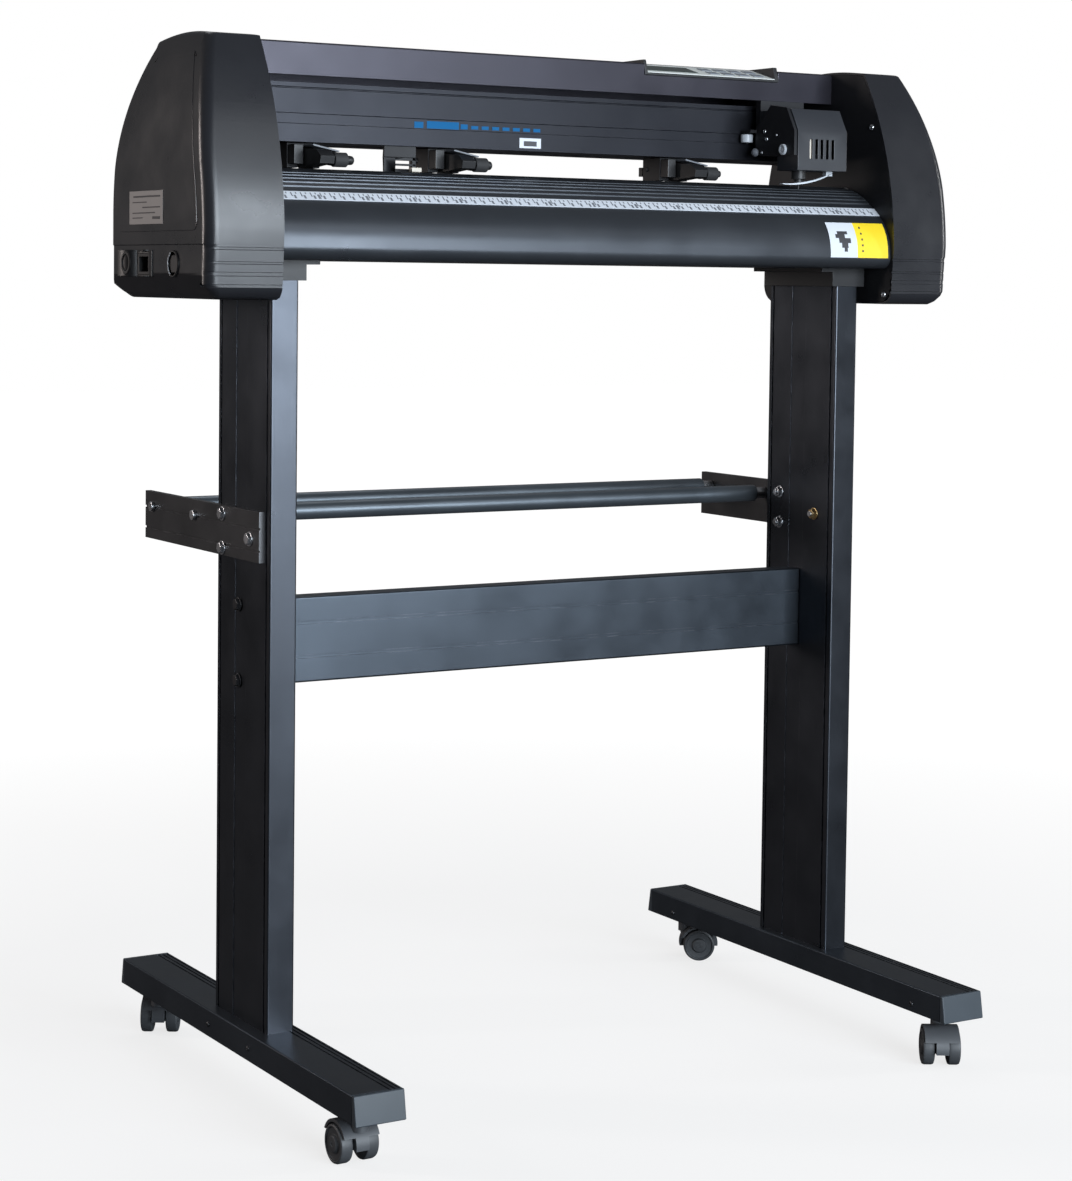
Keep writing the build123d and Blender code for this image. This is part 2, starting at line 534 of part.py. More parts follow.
for number, drum_x in enumerate(PINCH_XS, 1):
    arm_left = drum_x - 24
    arm_right = drum_x - 9
    with BuildPart() as pinch_mount:
        block((arm_left - 12, arm_left - 0.5), PINCH_CHEEK_Y, (PINCH_MOUNT_LOW, BEAM_LOW - 0.4))
        block((arm_right + 0.5, arm_right + 8), PINCH_CHEEK_Y, (PINCH_MOUNT_LOW, BEAM_LOW - 0.4))
        block((arm_left - 12, arm_right + 8), PINCH_CHEEK_Y, (BEAM_LOW - 3, BEAM_LOW - 0.4))
        block((arm_left - 12, arm_right + 8), (KEYWAY_Y - 3.6, KEYWAY_Y + 3.6), (BEAM_LOW - 1, BEAM_LOW + 6))
        rod((arm_left - 14, PIVOT_Y, PIVOT_Z), (1, 0, 0), 2.5, arm_right + 10 - arm_left + 14)
    save(pinch_mount, f"pinch_mount_{number}")
    with BuildPart() as pinch_arm:
        web = [(-29, 895), (-31, 902), (-22, 908), (8, 910), (46, 909), (52, 906)]
        web += [(53, 905), (53, 897), (47, 893.5), (4, 892.6), (-8, 893.6)]
        prism_x(web, (arm_left, arm_right))
        rod((arm_right - 1, GRIT_Y, PINCH_Z), (1, 0, 0), 2.2, PINCH_WIDTH + 7)
        rod((drum_x + PINCH_WIDTH / 2 + 0.4, GRIT_Y, PINCH_Z), (1, 0, 0), 3.4, 4.2)
        rod((arm_left - 1, PIVOT_Y, PIVOT_Z), (1, 0, 0), 2.56, 30, Mode.SUBTRACT)
        block((arm_left - 12, arm_right + 8), (51.5, 58), (897, 906.5))
    save(pinch_arm, f"pinch_arm_{number}")
    with BuildPart() as pinch_roller:
        rod((drum_x - PINCH_WIDTH / 2, GRIT_Y, PINCH_Z), (1, 0, 0), PINCH_RADIUS, PINCH_WIDTH)
        fillet(pinch_roller.edges().filter_by(GeomType.CIRCLE), 0.8)
        rod((drum_x - PINCH_WIDTH, GRIT_Y, PINCH_Z), (1, 0, 0), 2.26, 2 * PINCH_WIDTH, Mode.SUBTRACT)
    save(pinch_roller, f"pinch_roller_{number}")

# ------------------------------------------------------------------------------- carriage drive
with BuildPart() as carriage_belt:
    for grow, mode in ((BELT_GAP + BELT_THICKNESS, Mode.ADD), (BELT_GAP, Mode.SUBTRACT)):
        radius = PULLEY_RADIUS + grow
        loop = belt_face(Plane.XY.offset(BELT_Z[0]), (IDLER_X, PULLEY_Y), radius, (DRIVE_X, PULLEY_Y), radius)
        extrude(loop, amount=BELT_Z[1] - BELT_Z[0], mode=mode)
save(carriage_belt, "carriage_belt")

with BuildPart() as drive_pulley:
    rod((DRIVE_X, PULLEY_Y, BELT_Z[0] - 1.2), (0, 0, 1), PULLEY_RADIUS, BELT_Z[1] - BELT_Z[0] + 2.4)
    for flange_z in (BELT_Z[0] - 1.2, BELT_Z[1] + 0.4):
        rod((DRIVE_X, PULLEY_Y, flange_z), (0, 0, 1), PULLEY_RADIUS + 3, 0.8)
    rod((DRIVE_X, PULLEY_Y, 970), (0, 0, 1), 2.5, 27)
save(drive_pulley, "drive_pulley")

with BuildPart() as idler_pulley:
    rod((IDLER_X, PULLEY_Y, BELT_Z[0] - 1.2), (0, 0, 1), PULLEY_RADIUS, BELT_Z[1] - BELT_Z[0] + 2.4)
    for flange_z in (BELT_Z[0] - 1.2, BELT_Z[1] + 0.4):
        rod((IDLER_X, PULLEY_Y, flange_z), (0, 0, 1), PULLEY_RADIUS + 3, 0.8)
    rod((IDLER_X, PULLEY_Y, BELT_Z[0] - 2), (0, 0, 1), 3.06, 12, Mode.SUBTRACT)
save(idler_pulley, "idler_pulley")

with BuildPart() as carriage_motor:
    block((DRIVE_X - 21, DRIVE_X + 21), (PULLEY_Y - 21, PULLEY_Y + 21), (934, 976))
    chamfer(carriage_motor.edges().filter_by(Axis.Z), 3.5)
    rod((DRIVE_X, PULLEY_Y, 976), (0, 0, 1), 11, 2)
    rod((DRIVE_X, PULLEY_Y, 965), (0, 0, 1), 2.58, 14, Mode.SUBTRACT)
    block((INNER_X + PLATE, DRIVE_X - 21), (PULLEY_Y - 21, PULLEY_Y + 21), (966, 976))
save(carriage_motor, "carriage_motor")

# ------------------------------------------------------------------------------------ carriage
with BuildPart() as carriage_block:
    cheek = ((-12, 921), (-12, 948), (-38, 972), (-66, 968), (-80, 944), (-80, 919), (-46, 919))
    prism_x(cheek, (CARRIAGE_LEFT - 3.5, CARRIAGE_LEFT))
    block((CARRIAGE_LEFT + 1, CARRIAGE_RIGHT - 6), (-14, -6), (921, 978))
    block((CARRIAGE_LEFT + 14, CARRIAGE_RIGHT - 8), (-8, 14), (974.6, 978))
    block((CARRIAGE_LEFT + 18, CARRIAGE_RIGHT - 10), (9.5, 60), (BEAM_HIGH + 0.5, 986))
    for y_span in ((15.8, 18.6), (21.6, 24.4)):
        block((CARRIAGE_LEFT + 26, CARRIAGE_LEFT + 44), y_span, (984, 995))
    block((HOLDER_X - 5, HOLDER_X + 5), (-19, -12), (925, 962))
    rod((HOLDER_X + 24, -34, 926), (0, 0, 1), 10, 30)
    block((HOLDER_X + 18, HOLDER_X + 30), (-26, -10), (930, 952))
    block((GUIDE_X - 5, CARRIAGE_LEFT + 3), (-13.9, 2), (943.9, 947))
    rod((GUIDE_X, GUIDE_Y, 933), (0, 0, 1), 1.8, 12)
save(carriage_block, "carriage_block")

with BuildPart() as guide_roller:
    rod((GUIDE_X, GUIDE_Y, 934.2), (0, 0, 1), GUIDE_RADIUS, 8.6)
    rod((GUIDE_X, GUIDE_Y, 930), (0, 0, 1), 1.86, 18, Mode.SUBTRACT)
save(guide_roller, "guide_roller")

with BuildPart() as carriage_cover:
    outer = ((CARRIAGE_FRONT, 903.5), (CARRIAGE_FRONT, 944), (-69, 967), (-14, 967), (-14, 920), (-46, 920), (-46, 903.5))
    prism_x(outer, (CARRIAGE_LEFT, CARRIAGE_RIGHT))
    inner = ((-80, 905.5), (-80, 943.4), (-67.9, 965), (-10, 965), (-10, 922), (-48, 922), (-48, 905.5))
    prism_x(inner, (CARRIAGE_LEFT + 2, CARRIAGE_RIGHT - 2), Mode.SUBTRACT)
    rod((HOLDER_X, HOLDER_Y, 900), (0, 0, 1), 9.5, 10, Mode.SUBTRACT)
    for slot_x in (260, 267, 274, 281, 288):
        block((slot_x - 1.6, slot_x + 1.6), (CARRIAGE_FRONT - 1, CARRIAGE_FRONT + 3), (915.5, 935.5), Mode.SUBTRACT)
save(carriage_cover, "carriage_cover")

with BuildPart() as tool_slide:
    block((HOLDER_X - 10, HOLDER_X + 10), (-50, -14.6), (931, 955))
    block((HOLDER_X - 5.4, HOLDER_X + 5.4), (-19.4, -13.6), (931, 955), Mode.SUBTRACT)
    rod((HOLDER_X, HOLDER_Y, 931), (0, 0, 1), 13, 10)
    rod((HOLDER_X, HOLDER_Y, 926), (0, 0, 1), 7.54, 30, Mode.SUBTRACT)
    rod((HOLDER_X, HOLDER_Y, 941), (0, 0, 1), 9.2, 15, Mode.SUBTRACT)
save(tool_slide, "tool_slide")

with BuildPart() as blade_holder:
    rod((HOLDER_X, HOLDER_Y, 895), (0, 0, 1), 7.5, 58)
    rod((HOLDER_X, HOLDER_Y, 889), (0, 0, 1), 4.5, 7)
    rod((HOLDER_X, HOLDER_Y, 884.5), (0, 0, 1), 0.9, 5)
    rod((HOLDER_X, HOLDER_Y, 941), (0, 0, 1), 9, 3)
save(blade_holder, "blade_holder")

# ------------------------------------------------------------------------------ electrical parts
with BuildPart() as power_inlet:
    block((-OUTER_X, -405), (INLET_Y - 14, INLET_Y + 14), (787.5, 807.5))
    block((-OUTER_X, -410), (INLET_Y - 11, INLET_Y + 11), (790.5, 804.5), Mode.SUBTRACT)
    for pin_y, pin_z in ((INLET_Y - 7, 796), (INLET_Y, 799.5), (INLET_Y + 7, 796)):
        block((-420, -409), (pin_y - 1, pin_y + 1), (pin_z - 2, pin_z + 2))
save(power_inlet, "power_inlet")

with BuildPart() as fuse_holder:
    rod((-OUTER_X, FUSE_Y, 799), (1, 0, 0), 9, 22)
    rod((-OUTER_X, FUSE_Y, 799), (1, 0, 0), 6, 3, Mode.SUBTRACT)
    rod((-OUTER_X + 0.6, FUSE_Y, 799), (1, 0, 0), 4.8, 4)
save(fuse_holder, "fuse_holder")

with BuildPart() as power_rocker:
    block((-426.6, -417), (ROCKER_Y - 7, ROCKER_Y + 7), (ROCKER_Z - 6, ROCKER_Z + 6))
    chamfer(power_rocker.edges().filter_by(Axis.Z), 1.5)
    rod((ROCKER_X, ROCKER_Y, ROCKER_Z - 15), (0, 0, 1), ROCKER_PIN, 30)
save(power_rocker, "power_rocker")

with BuildPart() as power_supply:
    block((-399, -INNER_X - PLATE), (-85, 85), (774, 815))
    for slot_y in range(-70, 71, 10):
        block((-380, -365), (slot_y - 2, slot_y + 2), (813, 816), Mode.SUBTRACT)
save(power_supply, "power_supply")

with BuildPart() as main_board:
    board_x = INNER_X + PLATE + BOARD_STANDOFF
    block((board_x, board_x + 1.6), (-78, 82), (782, 900))
    for y in (-70, 74):
        for z in (790, 892):
            rod((board_x, y, z), (-1, 0, 0), 3, BOARD_STANDOFF)
    for y_span, z_span in (((-60, -20), (860, 885)), ((-10, 30), (800, 830)), ((40, 70), (840, 880)), ((-60, -40), (790, 820))):
        block((board_x + 1.6, board_x + 12), y_span, z_span)
save(main_board, "main_board")
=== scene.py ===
import json
from math import atan2, cos, pi, radians, sin, sqrt

import bmesh
import bpy
from mathutils import Matrix, Vector

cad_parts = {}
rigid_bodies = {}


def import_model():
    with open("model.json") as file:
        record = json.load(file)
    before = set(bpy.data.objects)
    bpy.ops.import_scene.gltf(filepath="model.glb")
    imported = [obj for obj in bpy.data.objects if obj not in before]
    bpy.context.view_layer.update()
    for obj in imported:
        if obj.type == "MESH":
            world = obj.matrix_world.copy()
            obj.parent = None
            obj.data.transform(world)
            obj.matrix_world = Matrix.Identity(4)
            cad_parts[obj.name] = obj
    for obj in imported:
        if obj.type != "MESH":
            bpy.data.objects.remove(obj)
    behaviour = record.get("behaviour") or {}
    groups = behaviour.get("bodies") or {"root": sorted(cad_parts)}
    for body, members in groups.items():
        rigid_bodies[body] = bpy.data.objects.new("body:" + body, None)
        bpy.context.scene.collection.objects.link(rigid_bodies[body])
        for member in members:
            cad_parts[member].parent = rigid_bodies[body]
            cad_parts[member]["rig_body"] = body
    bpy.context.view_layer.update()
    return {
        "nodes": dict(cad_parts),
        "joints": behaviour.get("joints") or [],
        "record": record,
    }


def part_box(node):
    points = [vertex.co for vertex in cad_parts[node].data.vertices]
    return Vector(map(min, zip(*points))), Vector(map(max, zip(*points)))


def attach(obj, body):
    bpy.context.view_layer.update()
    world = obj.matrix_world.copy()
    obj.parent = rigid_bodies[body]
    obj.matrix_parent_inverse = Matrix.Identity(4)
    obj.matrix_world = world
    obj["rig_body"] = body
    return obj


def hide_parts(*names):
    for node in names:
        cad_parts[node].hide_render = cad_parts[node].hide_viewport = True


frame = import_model()
MM = 0.001

# The parts' main measures, in millimetres, read from the frame
LEG_LOW, LEG_HIGH = (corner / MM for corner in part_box("right_leg"))
COVER_LOW, COVER_HIGH = (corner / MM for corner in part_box("right_end_cover"))
INNER_X = COVER_LOW.x
OUTER_X = COVER_HIGH.x
HEAD_BOTTOM = COVER_LOW.z
HEAD_TOP = COVER_HIGH.z


# ------------------------------------------------------------------------------------ materials
class Shader:
    """A node material under construction: a Principled shader and the object's own coordinates."""

    def __init__(self, name):
        self.material = bpy.data.materials.new(name)
        self.material.use_nodes = True
        self.nodes = self.material.node_tree.nodes
        self.links = self.material.node_tree.links
        self.body = self.nodes["Principled BSDF"]
        self.coordinates = self.nodes.new("ShaderNodeTexCoord").outputs["Object"]

    def scaled(self, scale):
        """The object's coordinates, stretched."""
        mapping = self.nodes.new("ShaderNodeMapping")
        mapping.inputs["Scale"].default_value = scale
        self.links.new(self.coordinates, mapping.inputs["Vector"])
        return mapping.outputs["Vector"]

    def noise(self, scale, detail=3.0, roughness=0.55):
        node = self.nodes.new("ShaderNodeTexNoise")
        node.inputs["Scale"].default_value = 1.0
        node.inputs["Detail"].default_value = detail
        node.inputs["Roughness"].default_value = roughness
        self.links.new(self.scaled(scale), node.inputs["Vector"])
        return node.outputs["Fac"]

    def ramp(self, value, low, high, to_low=0.0, to_high=1.0):
        node = self.nodes.new("ShaderNodeMapRange")
        node.inputs["From Min"].default_value = low
        node.inputs["From Max"].default_value = high
        node.inputs["To Min"].default_value = to_low
        node.inputs["To Max"].default_value = to_high
        self.links.new(value, node.inputs["Value"])
        return node.outputs["Result"]

    def math(self, operation, first, second):
        node = self.nodes.new("ShaderNodeMath")
        node.operation = operation
        for socket, value in zip(node.inputs, (first, second)):
            if isinstance(value, (int, float)):
                socket.default_value = value
            else:
                self.links.new(value, socket)
        return node.outputs["Value"]

    def mix(self, factor, first, second):
        """A colour between two colours, each a triple or a socket."""
        node = self.nodes.new("ShaderNodeMix")
        node.data_type = "RGBA"
        self.links.new(factor, node.inputs["Factor"])
        for socket, value in ((node.inputs[6], first), (node.inputs[7], second)):
            if isinstance(value, tuple):
                socket.default_value = (*value, 1.0)
            else:
                self.links.new(value, socket)
        return node.outputs[2]

    def edges(self, radius):
        """A mask that is 1 on edges and corners, from how far a rounded normal leaves the true one."""
        bevel = self.nodes.new("ShaderNodeBevel")
        bevel.samples = 4
        bevel.inputs["Radius"].default_value = radius
        geometry = self.nodes.new("ShaderNodeNewGeometry")
        dot = self.nodes.new("ShaderNodeVectorMath")
        dot.operation = "DOT_PRODUCT"
        self.links.new(bevel.outputs["Normal"], dot.inputs[0])
        self.links.new(geometry.outputs["Normal"], dot.inputs[1])
        return self.ramp(dot.outputs["Value"], 0.99, 0.85)

    def bump(self, height, distance, strength=1.0):
        node = self.nodes.new("ShaderNodeBump")
        node.inputs["Strength"].default_value = strength
        node.inputs["Distance"].default_value = distance
        self.links.new(height, node.inputs["Height"])
        self.links.new(node.outputs["Normal"], self.body.inputs["Normal"])

    def set(self, **values):
        for name, value in values.items():
            socket = self.body.inputs[name.replace("_", " ")]
            if isinstance(value, bpy.types.NodeSocket):
                self.links.new(value, socket)
            else:
                socket.default_value = (*value, 1.0) if isinstance(value, tuple) else value


def finish_material(
    name, color, roughness, metallic=0.0, specular=0.5, mottle=0.10, spread=0.06,
    grain=0.0, grain_scale=(900, 900, 900), wear=0.0, wear_color=(0.3, 0.3, 0.31),
):
    """A painted, moulded, anodised or machined surface: patchy colour, uneven gloss, grain and worn edges."""
    shader = Shader(name)
    patches = shader.noise((7, 7, 7), detail=4.0)
    dark = tuple(channel * (1 - mottle) for channel in color)
    light = tuple(channel * (1 + mottle) for channel in color)
    tone = shader.mix(shader.ramp(patches, 0.3, 0.7), dark, light)
    fine = shader.noise(grain_scale, detail=2.0)
    if wear:
        scratches = shader.ramp(shader.noise((60, 60, 60), detail=5.0), 0.45, 0.62)
        mask = shader.math("MULTIPLY", shader.math("MULTIPLY", shader.edges(0.0012), scratches), wear)
        tone = shader.mix(mask, tone, wear_color)
    smears = shader.noise((18, 18, 18), detail=5.0)
    smudges = shader.ramp(smears, 0.25, 0.75, roughness - spread, roughness + spread)
    shader.set(Base_Color=tone, Roughness=smudges, Metallic=metallic)
    shader.body.inputs["Specular IOR Level"].default_value = specular
    if grain:
        shader.bump(fine, grain)
    return shader.material


ALONG_X = (6, 1400, 1400)
ALONG_Z = (1400, 1400, 6)

anodised = finish_material(
    "dark anodised extrusion", (0.070, 0.082, 0.098), 0.33, metallic=0.95, grain=0.00003, grain_scale=ALONG_X,
    wear=0.35, wear_color=(0.35, 0.37, 0.42),
)
leg_metal = finish_material(
    "upright extrusion", (0.055, 0.060, 0.070), 0.31, metallic=0.95, grain=0.00003, grain_scale=ALONG_Z,
    wear=0.3, wear_color=(0.35, 0.37, 0.42),
)
beam_metal = finish_material(
    "beam extrusion", (0.018, 0.019, 0.024), 0.36, metallic=0.6, specular=0.3,
    grain=0.00003, grain_scale=ALONG_X, wear=0.2, wear_color=(0.2, 0.2, 0.22),
)
hood_metal = finish_material(
    "beam hood extrusion", (0.036, 0.034, 0.044), 0.34, metallic=0.6, specular=0.4, grain=0.00003,
    grain_scale=ALONG_X, wear=0.2, wear_color=(0.3, 0.3, 0.32),
)
roller_metal = finish_material(
    "media roller tube", (0.13, 0.15, 0.17), 0.34, metallic=0.75, grain=0.00003, grain_scale=ALONG_X,
    wear=0.25, wear_color=(0.3, 0.32, 0.36),
)
bracket_metal = finish_material(
    "roll bracket bar", (0.075, 0.075, 0.078), 0.34, metallic=0.7, grain=0.00003,
    wear=0.3, wear_color=(0.35, 0.35, 0.37),
)
platen_metal = finish_material(
    "platen extrusion", (0.062, 0.068, 0.078), 0.33, metallic=0.7, grain=0.00003, grain_scale=ALONG_X,
    wear=0.25, wear_color=(0.3, 0.32, 0.36),
)
cover_plastic = finish_material(
    "moulded cover", (0.015, 0.0155, 0.0185), 0.31, specular=0.5, grain=0.00004,
    wear=0.15, wear_color=(0.12, 0.12, 0.125),
)
black_plastic = finish_material(
    "black plastic", (0.018, 0.018, 0.019), 0.42, specular=0.4, grain=0.00004,
    wear=0.3, wear_color=(0.1, 0.1, 0.1),
)
plate_paint = finish_material(
    "black coated sheet", (0.012, 0.012, 0.014), 0.5, specular=0.3, grain=0.00003,
    wear=0.2, wear_color=(0.1, 0.1, 0.1),
)
carriage_plastic = finish_material(
    "carriage plastic", (0.022, 0.024, 0.029), 0.42, specular=0.45, grain=0.00005,
    wear=0.3, wear_color=(0.15, 0.15, 0.16),
)
cap_plastic = finish_material(
    "end cap plastic", (0.036, 0.046, 0.056), 0.45, specular=0.5, grain=0.00005,
    wear=0.3, wear_color=(0.2, 0.22, 0.24),
)
castor_plastic = finish_material(
    "castor plastic", (0.065, 0.069, 0.075), 0.45, grain=0.00005, wear=0.4, wear_color=(0.15, 0.155, 0.16),
)
wheel_plastic = finish_material(
    "wheel plastic", (0.050, 0.053, 0.057), 0.5, grain=0.00006,
    wear=0.4, wear_color=(0.3, 0.31, 0.32), mottle=0.2,
)
zinc = finish_material(
    "zinc plated steel", (0.62, 0.63, 0.65), 0.28, metallic=1.0, grain=0.00003,
    wear=0.4, wear_color=(0.35, 0.35, 0.36),
)
brass = finish_material(
    "yellow passivated steel", (0.55, 0.40, 0.20), 0.32, metallic=1.0, grain=0.00003,
    wear=0.4, wear_color=(0.35, 0.3, 0.2),
)
bolt_black = finish_material(
    "black oxide steel", (0.035, 0.035, 0.038), 0.4, metallic=0.6, grain=0.00004,
    wear=0.5, wear_color=(0.2, 0.2, 0.2),
)
bright_steel = finish_material(
    "ground steel", (0.50, 0.51, 0.53), 0.3, metallic=1.0, grain=0.00003, grain_scale=ALONG_X,
    wear=0.3, wear_color=(0.3, 0.3, 0.31),
)
rubber = finish_material("black rubber", (0.025, 0.025, 0.026), 0.7, specular=0.35, grain=0.00008, mottle=0.2)
board_green = finish_material("solder mask", (0.02, 0.13, 0.06), 0.35, grain=0.00004, mottle=0.2)
supply_steel = finish_material(
    "galvanised sheet", (0.5, 0.51, 0.52), 0.35, metallic=1.0,
    grain=0.00005, mottle=0.25,
)
pale_plastic = finish_material("pale plastic", (0.55, 0.58, 0.62), 0.35, grain=0.00003)
white_print = finish_material("white printed label", (0.62, 0.65, 0.70), 0.4, grain=0.00002, mottle=0.03)

label_grey = finish_material("grey label", (0.38, 0.36, 0.35), 0.5, grain=0.00002, mottle=0.06)
print_dark = finish_material("dark print", (0.035, 0.035, 0.04), 0.5, grain=0.00002, mottle=0.05)
fitting_black = finish_material("fitting black", (0.005, 0.005, 0.006), 0.42, grain=0.00002, mottle=0.1)
grey_print = finish_material("grey print", (0.16, 0.17, 0.19), 0.5, grain=0.00002, mottle=0.1)
yellow_print = finish_material("yellow print", (0.86, 0.62, 0.02), 0.45, grain=0.00002, mottle=0.03)
blue_print = finish_material(
    "blue print", (0.001, 0.10, 0.26), 0.6, specular=0.15,
    grain=0.00002, mottle=0.05,
)
grey_plastic = finish_material(
    "grey plastic", (0.16, 0.17, 0.19), 0.4,
    grain=0.00004, wear=0.3, wear_color=(0.3, 0.3, 0.3),
)
cream_plastic = finish_material("cream plastic", (0.62, 0.56, 0.48), 0.4, grain=0.00003)
overlay_film = finish_material("panel film", (0.72, 0.74, 0.71), 0.4, grain=0.00002, mottle=0.03)
key_plastic = finish_material("key film", (0.20, 0.22, 0.25), 0.45, grain=0.00003)
window_green = finish_material("display window", (0.03, 0.05, 0.045), 0.12, specular=0.6, mottle=0.05)

LOOKS = {
    "leg_aluminium": leg_metal,
    "dark_steel": black_plastic,
    "dark_anodised": anodised,
    "cap_plastic": cap_plastic,
    "black_plastic": black_plastic,
    "cover_plastic": cover_plastic,
    "castor_plastic": castor_plastic,
    "wheel_plastic": wheel_plastic,
    "zinc": zinc,
    "bolt_black": bolt_black,
    "bright_steel": bright_steel,
    "plate_steel": plate_paint,
    "platen_metal": platen_metal,
    "ruler_white": white_print,
    "overlay": overlay_film,
    "motor_metal": bolt_black,
    "belt_rubber": rubber,
    "roller_rubber": rubber,
    "pale_plastic": pale_plastic,
    "board_green": board_green,
    "supply_steel": supply_steel,
    "carriage_plastic": carriage_plastic,
}

node_slots = {part["node"]: part["material_slot"] for part in frame["record"]["subparts"]}
for node, obj in frame["nodes"].items():
    obj.data.materials.clear()
    obj.data.materials.append(LOOKS[node_slots[node]])


# ---------------------------------------------------------------------------------- mesh building
def apply_modifiers(obj):
    """Replaces an object's mesh with what its modifiers make of it."""
    bpy.context.view_layer.update()
    result = bpy.data.meshes.new_from_object(obj.evaluated_get(bpy.context.evaluated_depsgraph_get()))
    obj.modifiers.clear()
    obj.data = result


def dress(obj, bevel, crease=32):
    """Rounds the hard edges by a small width in mm and shades the rest smoothly."""
    if bevel:
        rounding = obj.modifiers.new("rounding", "BEVEL")
        rounding.width = bevel * MM
        rounding.segments = 2
        rounding.limit_method = "ANGLE"
        rounding.angle_limit = radians(crease)
        rounding.miter_outer = "MITER_ARC"
        apply_modifiers(obj)
    obj.data.shade_smooth()
    obj.data.set_sharp_from_angle(angle=radians(crease))
    flatten = obj.modifiers.new("flat faces", "WEIGHTED_NORMAL")
    flatten.keep_sharp = True
    apply_modifiers(obj)


def install(name, mesh, look, body, slot, nodes=(), bevel=0.0, crease=32):
    obj = bpy.data.objects.new(name, mesh)
    bpy.context.scene.collection.objects.link(obj)
    mesh.materials.clear()
    mesh.materials.append(look)
    dress(obj, bevel, crease)
    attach(obj, body)
    for node in nodes:
        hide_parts(node)
    return obj


class Shape:
    """Solids in millimetres, gathered into one mesh."""

    def __init__(self):
        self.vertices = []
        self.faces = []

    def add(self, vertices, faces):
        start = len(self.vertices)
        self.vertices += [Vector(vertex) for vertex in vertices]
        self.faces += [[start + index for index in face] for face in faces]

    def loft(self, rings):
        """Skins rings of equal length, each a closed loop of points, and closes both ends."""
        count = len(rings[0])
        faces = []
        for level in range(len(rings) - 1):
            for step in range(count):
                after = (step + 1) % count
                low, high = level * count, (level + 1) * count
                faces.append((low + step, low + after, high + after, high + step))
        faces.append(range(count))
        faces.append(range((len(rings) - 1) * count, len(rings) * count))
        self.add([point for ring in rings for point in ring], faces)

    def lathe(self, profile, origin, axis, segments=40):
        """Turns (radius, distance along the axis) points round an axis."""
        axis = Vector(axis).normalized()
        side = axis.orthogonal().normalized()
        other = axis.cross(side)
        rings = []
        for radius, along in profile:
            centre = Vector(origin) + axis * along
            turn = [2 * pi * step / segments for step in range(segments)]
            reach = max(radius, 0.001)
            rings.append([centre + (side * cos(angle) + other * sin(angle)) * reach for angle in turn])
        self.loft(rings)

    def prism(self, outline, axis, low, high):
        """Draws a closed outline out along x, y or z."""
        order = {"x": (2, 0, 1), "y": (0, 2, 1), "z": (0, 1, 2)}[axis]
        rings = []
        for depth in (low, high):
            corners = [(first, second, depth) for first, second in outline]
            rings.append([tuple(corner[place] for place in order) for corner in corners])
        self.loft(rings)

    def box(self, x, y, z):
        self.prism(((x[0], y[0]), (x[1], y[0]), (x[1], y[1]), (x[0], y[1])), "z", z[0], z[1])

    def install(self, name, look, body, slot, nodes=(), bevel=0.0, crease=32):
        mesh = bpy.data.meshes.new(name)
        mesh.from_pydata([vertex * MM for vertex in self.vertices], [], self.faces)
        bm = bmesh.new()
        bm.from_mesh(mesh)
        bmesh.ops.remove_doubles(bm, verts=bm.verts, dist=0.000002)
        bmesh.ops.recalc_face_normals(bm, faces=bm.faces)
        bm.to_mesh(mesh)
        return install(name, mesh, look, body, slot, nodes, bevel, crease)


def soften(node, width, look=None):
    """Shows a CAD piece with its flat faces joined and its edges rounded."""
    source = frame["nodes"][node]
    bm = bmesh.new()
    bm.from_mesh(source.data)
    bmesh.ops.remove_doubles(bm, verts=bm.verts, dist=0.00001)
    bmesh.ops.dissolve_limit(bm, angle_limit=radians(0.6), verts=bm.verts, edges=bm.edges)
    mesh = bpy.data.meshes.new(f"{node}_finished")
    bm.to_mesh(mesh)
    slot = node_slots[node]
    return install(f"{node}_finished", mesh, look or LOOKS[slot], source["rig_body"], slot, (node,), width)


def printed(name, surface, look, slot, body, cells, axis="y", steps=4, lift=0.12, thickness=0.25):
    """Thin printed or glued patches laid on a surface, each (low, high, bottom, top), seen along y or x."""
    bpy.context.view_layer.update()
    vertices, faces = [], []
    for low, high, bottom, top in cells:
        start = len(vertices)
        for row in range(steps + 1):
            for column in range(steps + 1):
                across = low + (high - low) * column / steps
                height = bottom + (top - bottom) * row / steps
                if axis == "y":
                    origin, direction = Vector((across, -400, height)), Vector((0, 1, 0))
                else:
                    origin, direction = Vector((-700, across, height)), Vector((1, 0, 0))
                found, place, normal, _ = surface.ray_cast(origin * MM, direction)
                if not found:
                    raise ValueError(f"{name} misses its surface at {across:.1f}, {height:.1f}")
                vertices.append(place + normal * (lift * MM))
        width = steps + 1
        for row in range(steps):
            for column in range(steps):
                corner = start + row * width + column
                faces.append((corner, corner + 1, corner + 1 + width, corner + width))
    mesh = bpy.data.meshes.new(name)
    mesh.from_pydata(vertices, [], faces)
    obj = bpy.data.objects.new(name, mesh)
    bpy.context.scene.collection.objects.link(obj)
    sheet = obj.modifiers.new("thickness", "SOLIDIFY")
    sheet.thickness = thickness * MM
    sheet.offset = 0
    apply_modifiers(obj)
    mesh = obj.data
    bpy.data.objects.remove(obj)
    return install(name, mesh, look, body, slot)


